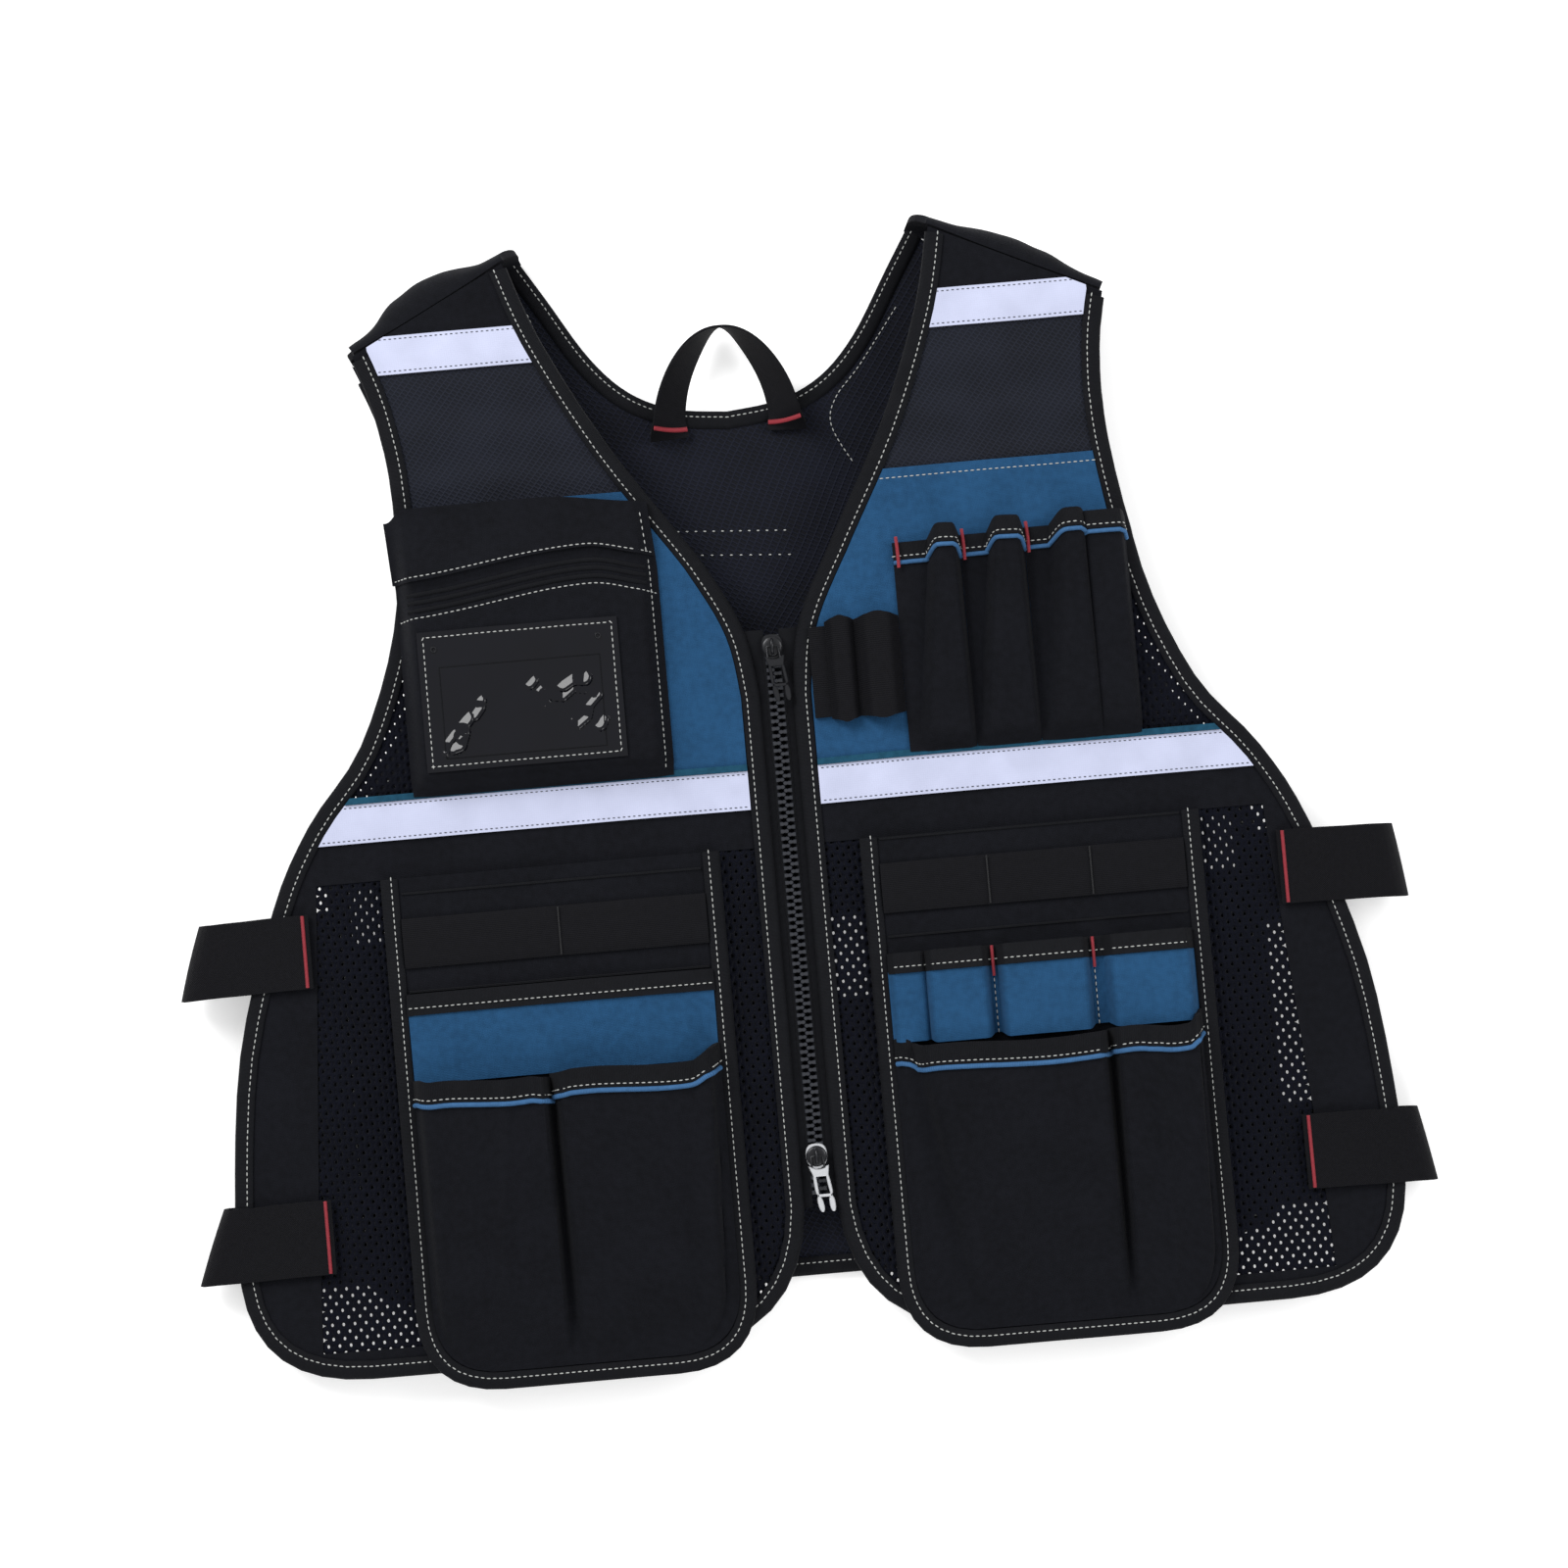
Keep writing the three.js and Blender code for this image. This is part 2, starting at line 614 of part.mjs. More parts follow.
function hangLoop() {
  const foot = BACK_CLOTH + 2 * GAP + TRIM;
  const base = at(BACK_NECK.at(-1)).y - BINDING_WIDTH / 2;
  const steps = 12;
  const sections = Array.from({ length: steps + 1 }, (_, i) => {
    const turn = Math.PI * (1 - i / steps);
    const roll = (Math.PI / 2) * Math.sin(turn) ** 0.8;
    const thick = new THREE.Vector3(0, 0, 1);
    const wide = new THREE.Vector3(1, 0, 0);
    const outward = new THREE.Vector3(Math.cos(turn) * 0.5, Math.sin(turn), 0).normalize();
    const centre = new THREE.Vector3(
      LOOP_HALF_SPAN * Math.cos(turn),
      base + (LOOP_HEIGHT - WEBBING) * Math.sin(turn) ** 0.9,
      foot + WEBBING / 2 + (LOOP_WIDTH / 2) * Math.sin(roll),
    );
    thick.multiplyScalar(Math.cos(roll)).addScaledVector(outward, Math.sin(roll));
    wide.multiplyScalar(Math.cos(roll)).addScaledVector(new THREE.Vector3(0, 0, -1), Math.sin(roll));
    const corner = (w, t) =>
      centre
        .clone()
        .addScaledVector(wide, (w * LOOP_WIDTH) / 2)
        .addScaledVector(thick, (t * WEBBING) / 2);
    return [corner(-1, -1), corner(1, -1), corner(1, 1), corner(-1, 1)];
  });
  return loft(sections, rectangle(-1, -1, 1, 1));
}

// The zip

const ZIP_LOW = HEM_CORNER.up * FRONT_LENGTH + SLIDER_LENGTH / 2;
const ZIP_HIGH = (ZIP_TOP + 0.055) * FRONT_LENGTH;
const LOWER_SLIDER = ZIP_LOW + SLIDER_LENGTH * 1.5;
const UPPER_SLIDER = ZIP_HIGH - SLIDER_LENGTH / 2;

function zipChain() {
  const count = Math.floor((ZIP_HIGH - ZIP_LOW) / TOOTH_PITCH);
  const root = CHAIN_HALF / 2;
  const edge = (side) =>
    Array.from({ length: count }, (_, i) => {
      const y = ZIP_LOW + (i + (side > 0 ? 0.5 : 0)) * TOOTH_PITCH;
      return [
        new THREE.Vector2(side * CHAIN_HALF, y),
        new THREE.Vector2(side * root, y + TOOTH_PITCH / 2),
      ];
    }).flat();
  return drape([...edge(1), ...edge(-1).reverse()], -CHAIN_DROP, CHAIN_THICK);
}

const SLIDER_SEAT = CHAIN_THICK - CHAIN_DROP + 1.5 * GAP; // underside of a slider above the fronts
const BRIDGE = { length: 9, height: 4, wide: 3, wall: 1.7, roof: 1.3 };
const PULL_AXIS = PULL_THICK / 2 + 1.3 * GAP; // pull's axis above its slider
const PULL_RIM = 1.5;

// Slider with a bridge that the pull hangs in.
function slider(middle) {
  const seat = restHeight(0, middle) + SLIDER_SEAT;
  const body = prism(
    rectangle(-SLIDER_WIDTH / 2, middle - SLIDER_LENGTH / 2, SLIDER_WIDTH / 2, middle + SLIDER_LENGTH / 2),
    seat,
    seat + SLIDER_THICK,
  );
  const { length, height, wide, wall, roof } = BRIDGE;
  const side = new THREE.Shape(rectangle(-length / 2, -wall, length / 2, height));
  side.holes.push(new THREE.Path(rectangle(wall - length / 2, 0, length / 2 - wall, height - roof)));
  const arch = new THREE.ExtrudeGeometry(side, { depth: wide, bevelEnabled: false })
    .translate(0, 0, -wide / 2)
    .rotateX(Math.PI / 2)
    .rotateZ(Math.PI / 2)
    .translate(0, middle, seat + SLIDER_THICK);
  return body.add(toSolid(arch));
}

// Pull: a bar in the bridge, an open eye round it and a tab with a window.
function pull(middle) {
  const half = PULL_WIDTH / 2;
  const rim = PULL_RIM;
  const eye = BRIDGE.length / 2 + rim;
  const tab = new THREE.Shape(rectangle(-half, -PULL_LENGTH, half, PULL_THICK / 2));
  tab.holes.push(new THREE.Path(rectangle(rim - half, -eye, half - rim, -PULL_THICK / 2)));
  tab.holes.push(new THREE.Path(rectangle(rim - half, rim - PULL_LENGTH, half - rim, -eye - 2 * rim)));
  const axis = restHeight(0, middle) + SLIDER_SEAT + SLIDER_THICK + PULL_AXIS;
  const plate = new THREE.ExtrudeGeometry(tab, { depth: PULL_THICK, bevelEnabled: false });
  return toSolid(plate.translate(0, middle, axis - PULL_THICK / 2));
}

// Chest pockets

function toolPocket(from, to) {
  const low = CHEST_BOTTOM + GAP;
  const box = [
    TOOL_START + TOOL_WIDTH * from + GAP / 2,
    low,
    TOOL_START + TOOL_WIDTH * to - GAP / 2,
    low + TOOL_HEIGHT,
  ];
  return drape(rectangle(...box), LAYER_2, TRIM, standOff(box, TOOL_DEPTH));
}

function penLoop(from, to) {
  const low = CHEST_BOTTOM + PEN_HEIGHT / 2;
  const box = [PEN_START + PEN_WIDTH * from + GAP, low, PEN_START + PEN_WIDTH * to - GAP, low + PEN_HEIGHT];
  return drape(rectangle(...box), LAYER_2, TRIM, standOff(box, PEN_DEPTH, POCKET_ACROSS, LOOP_UP));
}

const BADGE_BOX = [
  -BADGE_START - BADGE_WIDTH,
  CHEST_BOTTOM + GAP,
  -BADGE_START,
  CHEST_BOTTOM + GAP + BADGE_HEIGHT,
];
const BADGE_STAND = standOff(BADGE_BOX, BADGE_DEPTH, BOX_ACROSS, BOX_ACROSS);
const FLAP_SHARE = 0.33; // part of the badge pocket's height that its flap covers

function badgePocket() {
  return drape(rectangle(...BADGE_BOX), LAYER_2, WEBBING, BADGE_STAND);
}

function badgeFlap() {
  const [x0, y0, x1, y1] = BADGE_BOX;
  const outline = rectangle(x0 + MARGIN, lerp(y1, y0, FLAP_SHARE), x1 - MARGIN, y1 - MARGIN);
  return drape(outline, LAYER_2 + WEBBING + GAP, TRIM, BADGE_STAND);
}

function badgeWindow() {
  const middle = -BADGE_START - BADGE_WIDTH / 2 - MARGIN;
  const low = BADGE_BOX[1] + BADGE_HEIGHT * 0.11;
  const outline = rectangle(middle - WINDOW_WIDTH / 2, low, middle + WINDOW_WIDTH / 2, low + WINDOW_HEIGHT);
  return drape(outline, LAYER_2 + WEBBING + GAP, TRIM, BADGE_STAND);
}

// The vest put together

addNode("back_panel", backPanel(), NET_BLACK);
addNode("back_neck_binding", backBinding(BACK_NECK_PATH), BLACK);
addNode("back_edge_binding", backBinding(BACK_EDGE_PATH), BLACK);
addNode("hang_loop", hangLoop(), BLACK);

for (const [word, side] of [["left", -1], ["right", 1]]) {
  addNode(`front_${word}`, front(side), BLACK);
  addNode(`front_binding_${word}`, frontBinding(side), BLACK);
  addNode(`shoulder_${word}`, shoulder(side), BLACK);
  addNode(`back_shoulder_${word}`, backShoulder(side), NET_BLACK);
  for (const [name, window] of Object.entries(NET_WINDOWS)) {
    addNode(`${name}_${word}`, net(window, side), NET_BLACK);
  }
  addNode(`chest_panel_${word}`, chestPanel(side), BLUE);
  addNode(`shoulder_band_${word}`, band(side, SHOULDER_BAND), SILVER_TAPE, 0.5);
  addNode(`chest_band_${word}`, band(side, CHEST_BAND), SILVER_TAPE, 0.5);
  addNode(`zip_tape_${word}`, zipTape(side), BLACK);
  addNode(`pocket_panel_${word}`, pocketPanel(side), BLACK);
  addNode(`panel_binding_${word}`, panelBinding(side), BLACK);
  addNode(`pals_webbing_${word}`, palsWebbing(side, side < 0 ? LEFT_PALS : RIGHT_PALS), BLACK);
  addNode(`strap_upper_${word}`, sideStrap(side, UPPER_STRAP), BLACK);
  addNode(`strap_lower_${word}`, sideStrap(side, LOWER_STRAP), BLACK);
}

addNode("zip_chain", zipChain(), BLACK, 0.4);
addNode("slider_upper", slider(UPPER_SLIDER), BLACK, 0.4);
addNode("slider_lower", slider(LOWER_SLIDER), METAL, 0.3, 0.8);
addNode("pull_upper", pull(UPPER_SLIDER), BLACK, 0.4);
addNode("pull_lower", pull(LOWER_SLIDER), METAL, 0.3, 0.8);

[[0, 0.29], [0.29, 0.57], [0.57, 1]].forEach(([from, to], i) => {
  addNode(`tool_pocket_${i + 1}`, toolPocket(from, to), BLACK);
});
[[0.16, 0.52], [0.52, 1]].forEach(([from, to], i) => {
  addNode(`pen_loop_${i + 1}`, penLoop(from, to), BLACK);
});
addNode("badge_pocket", badgePocket(), BLACK);
addNode("badge_flap", badgeFlap(), BLACK);
addNode("badge_window", badgeWindow(), VINYL, 0.15);

const lowerSeam = MARGIN - PANEL_DROP;
const stripLow = LOWER_MOUTH + GAP;
const stripHigh = stripLow + STRIP_HEIGHT;
const bluePocket = panelPocket(-1, onPanel(-1, 0, 1, stripLow, stripHigh), STRIP_DEPTH);
addNode("blue_pocket", bluePocket, BLUE);
[[0, 0.34], [0.34, 0.67], [0.67, 1]].forEach(([from, to], i) => {
  const box = onPanel(1, from, to, stripLow, stripHigh);
  addNode(`blue_loop_${i + 1}`, panelPocket(1, box, STRIP_DEPTH, LOOP_UP), BLUE);
});
for (const [name, side, from, to] of [
  ["pocket_left_inner", -1, 0, 0.55],
  ["pocket_left_outer", -1, 0.55, 1],
  ["pocket_right_inner", 1, 0, 0.7],
  ["pocket_right_outer", 1, 0.7, 1],
]) {
  const box = onPanel(side, from, to, lowerSeam, LOWER_MOUTH);
  addNode(name, panelPocket(side, box, POCKET_DEPTH), BLACK);
}

// The origin is on the ground, under the middle of the vest.
vest.position.y = (PANEL_DROP - FRONT_LENGTH) / 2;

export default vest;
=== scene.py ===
import math

import bpy
from bpy.props import FloatProperty, FloatVectorProperty, PointerProperty
from mathutils import Matrix, Vector, noise
from mathutils.geometry import delaunay_2d_cdt


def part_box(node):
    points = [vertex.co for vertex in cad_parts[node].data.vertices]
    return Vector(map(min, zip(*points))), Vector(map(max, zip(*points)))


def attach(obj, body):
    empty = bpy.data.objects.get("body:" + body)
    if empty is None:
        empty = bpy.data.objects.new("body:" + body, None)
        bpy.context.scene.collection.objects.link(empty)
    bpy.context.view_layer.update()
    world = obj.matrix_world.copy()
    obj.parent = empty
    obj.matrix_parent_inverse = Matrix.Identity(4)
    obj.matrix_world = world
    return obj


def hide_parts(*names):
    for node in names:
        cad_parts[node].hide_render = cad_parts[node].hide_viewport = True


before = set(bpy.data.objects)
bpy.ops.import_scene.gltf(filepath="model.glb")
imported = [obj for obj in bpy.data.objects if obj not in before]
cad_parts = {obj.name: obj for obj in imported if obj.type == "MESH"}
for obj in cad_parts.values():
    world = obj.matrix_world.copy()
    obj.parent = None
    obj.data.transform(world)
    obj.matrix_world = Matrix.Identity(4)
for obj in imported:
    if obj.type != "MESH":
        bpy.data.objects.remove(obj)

bl_info = {
    "name": "Utility work vest",
    "version": (1, 0, 0),
    "blender": (4, 5, 0),
    "location": "View3D > Sidebar > Vest",
    "description": "Sews a work vest with tool pockets over its packed frame",
    "category": "Add Mesh",
}

# Sizes are in millimetres in vest coordinates: x from the zip, y up from the hem, z off the ground.
MM = 0.001
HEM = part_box("front_right")[0].y
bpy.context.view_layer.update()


def span(node):
    """Plan of a node: left, low, right, high, in vest coordinates."""
    low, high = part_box(node)
    return low.x / MM, (low.y - HEM) / MM, high.x / MM, (high.y - HEM) / MM


LENGTH = 573
HALF_WIDTH = span("front_right")[2]
FRONT_RISE = 28
CROWN_RISE = 5
PANEL = span("pocket_panel_right")
CHEST_BAND = span("chest_band_right")[1]
CHEST_TOP = span("chest_panel_right")[3]
SHOULDER_BAND = span("shoulder_band_right")[1]
BAND = 20
ZIP_HALF = 10
CLOTH = 2  # thickness of the fronts
BACK_CLOTH = 3
TRIM = 1.2  # thickness of pockets, overlays and tapes
WEB = 1.5  # cloth of the badge pocket
LAYER_1 = 2.3  # undersides of the layers above the fronts' underside
LAYER_2 = 3.8
LAYER_3 = 5.3
PANEL_CORNER = 42
SEAM_GAP = 8  # from the shoulder seam down to the edge of the fronts' and the back's cloth
PANEL_IN, PANEL_OUT = PANEL[0] + 8.3, PANEL[2] - 8.3  # inside the panel's binding
CHAIN = (72.4, 361.6)  # lower and upper end of the zip chain
WINDOW = (-180.5, 303.5, -78, 375.5)  # left, low, right and high of the badge window

# rise of the fronts over their length and over their half width, as shares
FALL = [(-0.2, 0.4), (0.16, 0.5), (0.54, 0.74), (0.8, 0.92), (1.2, 1)]
CROWN = [(0, 0), (0.06, 0), (0.24, 1), (0.72, 0.9), (1, 0), (1.2, 0)]
# outlines of the right half, as shares of the half width and the length
NECKLINE = [(0.378, 1), (0.332, 0.915), (0.238, 0.808), (0.112, 0.7), (0.052, 0.636)]
SIDE = [(1, 0.089), (1, 0.159), (0.97, 0.293), (0.893, 0.42), (0.82, 0.492),
        (0.718, 0.56), (0.644, 0.661), (0.617, 0.778), (0.627, 0.862), (0.66, 0.927)]
BACK_NECK = [(0.378, 1), (0.325, 0.955), (0.255, 0.895), (0.185, 0.857), (0.1, 0.836), (0, 0.829)]
BACK_SIDE = [(0.66, 0.927), (0.6, 0.84), (0.585, 0.74), (0.62, 0.62), (0.72, 0.52), (0.8, 0.45),
             (0.806, 0.3), (0.806, 0.12), (0.77, 0.07), (0.68, 0.056)]


# Colours and materials

def linear(code):
    """Linear colour of an sRGB hex value."""
    parts = [int(code[i:i + 2], 16) / 255 for i in (1, 3, 5)]
    return tuple(p / 12.92 if p <= 0.04045 else ((p + 0.055) / 1.055) ** 2.4 for p in parts)


def add(tree, kind, inputs=None, **settings):
    """Adds a node; an input is a number, a colour or the socket that feeds it."""
    node = tree.nodes.new(kind)
    for key, value in settings.items():
        setattr(node, key, value)
    for key, value in (inputs or {}).items():
        if isinstance(value, bpy.types.NodeSocket):
            tree.links.new(value, node.inputs[key])
        else:
            node.inputs[key].default_value = value
    return node


def start(name, **shader):
    """New material with its shader's constants set; gives its tree and shader."""
    material = bpy.data.materials.new(name)
    material.use_nodes = True
    tree = material.node_tree
    tree.nodes.clear()
    bsdf = add(tree, "ShaderNodeBsdfPrincipled", {k.replace("_", " "): v for k, v in shader.items()})
    add(tree, "ShaderNodeOutputMaterial", {"Surface": bsdf.outputs[0]})
    return material, tree, bsdf


def plane(tree, turn=0, own=True):
    """Millimetres over a piece: its own map along the cloth, or the object's."""
    if own:
        source = add(tree, "ShaderNodeUVMap", uv_map="cloth").outputs[0]
    else:
        source = add(tree, "ShaderNodeTexCoord").outputs["Object"]
    mapping = {"Vector": source, "Rotation": (0, 0, math.radians(turn)), "Scale": (1 / MM,) * 3}
    return add(tree, "ShaderNodeMapping", mapping).outputs[0]


def clouds(tree, place, scale, detail):
    """Soft noise, with its scale in cycles per millimetre."""
    return add(tree, "ShaderNodeTexNoise", {"Vector": place, "Scale": scale, "Detail": detail}).outputs["Fac"]


def ribs(tree, place, scale, axis, distortion, detail_scale):
    """Soft parallel waves."""
    return add(tree, "ShaderNodeTexWave", {"Vector": place, "Scale": scale, "Distortion": distortion, "Detail": 1.0,
               "Detail Scale": detail_scale}, bands_direction=axis).outputs["Fac"]


def weigh(tree, pattern, share, rest):
    """A share of one pattern over another."""
    return add(tree, "ShaderNodeMath", {0: pattern, 1: share, 2: rest}, operation="MULTIPLY_ADD").outputs[0]


def ranged(tree, level, low, high, first, last):
    return add(tree, "ShaderNodeMapRange", {"Value": level, "From Min": low, "From Max": high,
               "To Min": first, "To Max": last}).outputs[0]


def dye(tree, bsdf, colour, level, low, high, first, last):
    """Base colour, from its first to its last tone as the level goes from low to high."""
    tone = ranged(tree, level, low, high, first, last)
    shade = add(tree, "ShaderNodeVectorMath", {0: tuple(colour), "Scale": tone}, operation="SCALE").outputs[0]
    tree.links.new(shade, bsdf.inputs["Base Color"])


def emboss(tree, bsdf, height, strength, distance, **over):
    """Relief with its height in millimetres, over an earlier one where that is given."""
    relief = add(tree, "ShaderNodeBump", {"Height": height, "Strength": strength, "Distance": distance * MM,
                 **over}).outputs[0]
    tree.links.new(relief, bsdf.inputs["Normal"])
    return relief


def woven(name, colour, thread=1.1, tint=0.3, sheen=0.02, own=True):
    """Woven cloth: threads over and under one another, slubs and slightly uneven dye."""
    material, tree, bsdf = start(name, Roughness=0.85, Sheen_Weight=sheen, Sheen_Roughness=0.45,
                                 Specular_IOR_Level=0.1)
    place = plane(tree, 0, own)
    across, along = [ribs(tree, place, 3.1416 / thread / 6.283, axis, 0.6, 0.6) for axis in "XY"]
    cells = add(tree, "ShaderNodeTexChecker", {"Vector": place, "Scale": 1 / thread}).outputs["Fac"]
    weave = add(tree, "ShaderNodeMix", {"Factor": cells, "A": across, "B": along}).outputs[0]
    cloud, slub = clouds(tree, place, 0.03, 4.0), clouds(tree, place, 0.25, 1.0)
    mixed = weigh(tree, weave, 0.35, weigh(tree, cloud, 1.0, slub))
    dye(tree, bsdf, colour, mixed, 0.7, 1.5, 1 - tint, 1 + tint)
    emboss(tree, bsdf, cloud, 0.25, 1.2, Normal=emboss(tree, bsdf, weave, 0.35, 0.3))
    return material


def holed(name, colour, wide=2.0, high=2.9, turn=0, tint=0.45):
    """Spacer mesh: staggered rows of little holes between slanted ribs, in a knitted sheet."""
    material, tree, bsdf = start(name, Roughness=0.85, Sheen_Weight=0.05, Sheen_Roughness=0.5,
                                 Specular_IOR_Level=0.2)
    place = plane(tree, turn)
    brick = {"Vector": place, "Scale": 1.0, "Mortar Size": 0.7, "Mortar Smooth": 1.0, "Brick Width": wide,
             "Row Height": high, "Color1": (0, 0, 0, 1), "Color2": (0, 0, 0, 1), "Mortar": (1, 1, 1, 1)}
    yarn = add(tree, "ShaderNodeTexBrick", brick, offset=0.5).outputs["Fac"]
    # Painted shade: the holes between the yarn are drawn darker than the yarn itself; the clouds add tone that differs
    # at random.
    dye(tree, bsdf, colour, weigh(tree, yarn, 0.7, clouds(tree, place, 0.03, 3.0)), 0.4, 1.2, 1 - tint, 1 + tint)
    emboss(tree, bsdf, yarn, 0.7, 0.6)
    return material


def ribbed(name, colour, pitch=1.6, axis="X", depth=0.5):
    """Narrow tape, webbing or elastic: fine ribs across or along, a little fuzz."""
    material, tree, bsdf = start(name, Roughness=0.75, Sheen_Weight=0.02, Sheen_Roughness=0.4,
                                 Specular_IOR_Level=0.12)
    place = plane(tree)
    lines = ribs(tree, place, 0.5 / pitch, axis, 0.4, 0.8)
    dye(tree, bsdf, colour, weigh(tree, lines, 0.5, clouds(tree, place, 0.25, 4.0)), 0.3, 1.2, 0.7, 1.3)
    emboss(tree, bsdf, lines, depth, 0.3)
    return material


def beaded(name, colour):
    """Reflective tape: a coat of glass beads in a fine honeycomb, smudged where it was handled."""
    material, tree, bsdf = start(name, Sheen_Weight=0.1, Specular_IOR_Level=0.5)
    place = plane(tree)
    cells = add(tree, "ShaderNodeTexVoronoi", {"Vector": place, "Scale": 0.9, "Randomness": 0.25},
                feature="DISTANCE_TO_EDGE").outputs["Distance"]
    edge, smudge = ranged(tree, cells, 0, 0.12, 0, 1), clouds(tree, place, 0.05, 5.0)
    dye(tree, bsdf, colour, weigh(tree, edge, 0.25, smudge), 0.35, 1.0, 0.86, 1.05)
    tree.links.new(ranged(tree, smudge, 0, 1, 0.35, 0.6), bsdf.inputs["Roughness"])
    emboss(tree, bsdf, edge, 0.15, 0.15)
    return material


def filmed(name, colour):
    """Clear soft vinyl over black cloth: a wet gloss, softly clouded."""
    material, tree, bsdf = start(name, Roughness=0.06, IOR=1.42)
    cloud = clouds(tree, plane(tree), 0.04, 3.0)
    dye(tree, bsdf, colour, cloud, 0, 1, 0.7, 1.35)
    emboss(tree, bsdf, cloud, 0.1, 1.5)
    return material


def cast(name, colour, metal, rough):
    """Die-cast or moulded part: slightly uneven polish and fine scratches."""
    material, tree, bsdf = start(name, Metallic=metal)
    cloud = clouds(tree, plane(tree, own=False), 0.8, 5.0)
    dye(tree, bsdf, colour, cloud, 0, 1, 0.92, 1.08)
    tree.links.new(ranged(tree, cloud, 0, 1, rough * 0.7, rough * 1.4), bsdf.inputs["Roughness"])
    emboss(tree, bsdf, cloud, 0.1, 0.1)
    return material


def spun(name, colour):
    """Sewing thread: two twisted plies with a soft shine."""
    material, tree, bsdf = start(name, Roughness=0.6, Sheen_Weight=0.05)
    place = plane(tree, 35, own=False)
    twist = add(tree, "ShaderNodeTexWave", {"Vector": place, "Scale": 0.9, "Distortion": 0.5}).outputs["Fac"]
    dye(tree, bsdf, colour, twist, 0, 1, 0.78, 1.05)
    return material


class VestColours(bpy.types.PropertyGroup):
    """Colours of the cloths, tapes and threads."""


class VestSizes(bpy.types.PropertyGroup):
    """Sizes of the stitches, the net and the folds, in millimetres."""


COLOURS = {
    "black": ("Black cloth", "Woven polyester of the fronts and pockets", "#0f1015"),
    "mesh": ("Mesh", "Spacer mesh of the shoulders", "#161923"),
    "back": ("Back mesh", "Spacer mesh of the back, inside the vest", "#0d101c"),
    "net": ("Net", "Open net of the windows", "#080a14"),
    "tape": ("Binding", "Folded tape round the edges", "#101115"),
    "blue": ("Blue cloth", "Chest panels, blue pocket and loops", "#21486c"),
    "piping": ("Piping", "Blue cord under the pocket hems", "#3c648f"),
    # teal: painted shade along the blue panel's lower edge above the chest band, darker and greener than the blue
    "teal": ("Painted edge shade", "Painted shade along the blue panel's lower edge, above the chest band", "#1c465c"),
    "band": ("Reflective tape", "Chest and shoulder bands", "#c3c8e2"),
    "webbing": ("Webbing", "Side straps, flat webbing and hang loop", "#0e0e12"),
    "vinyl": ("Window", "Clear vinyl over black cloth", "#06070f"),
    "white": ("White thread", "Stitches", "#babcb9"),
    "red": ("Red thread", "Bar tacks", "#9c2735"),
    "silver": ("Silver", "Lower slider and its pull", "#e6e8ec"),
    "enamel": ("Enamel", "Sliders' domes and the upper pull", "#1d1e22"),
    "tooth": ("Teeth", "Moulded zip teeth", "#2e3036"),
}
for key, (label, text, code) in COLOURS.items():
    VestColours.__annotations__[key] = FloatVectorProperty(
        name=label, description=text, subtype="COLOR", size=3, min=0, max=1, default=linear(code))

SIZES = {
    "stitch_pitch": ("Stitch pitch", "From one stitch to the next", 3.1),
    "stitch_length": ("Stitch length", "Length of thread that shows in a stitch", 2.3),
    "stitch_width": ("Stitch width", "Width of the thread", 0.66),
    "net_across": ("Net pitch across", "From hole to hole along a row", 5.8),
    "net_up": ("Net pitch up", "From row to row", 3.6),
    "tooth_pitch": ("Tooth pitch", "From tooth to tooth of one zip half", 3.8),
    "ripple": ("Ripple", "Height of the soft ripples in the fronts", 1.1),
    "tuft": ("Bar tack width", "Width of a bar tack", 1.5),
}
for key, (label, text, size) in SIZES.items():
    VestSizes.__annotations__[key] = FloatProperty(
        name=label, description=text, default=size, min=0.1, max=20)


def sizes():
    """The sizes that the panel shows."""
    return bpy.context.scene.vest_sizes


MATERIALS = {}


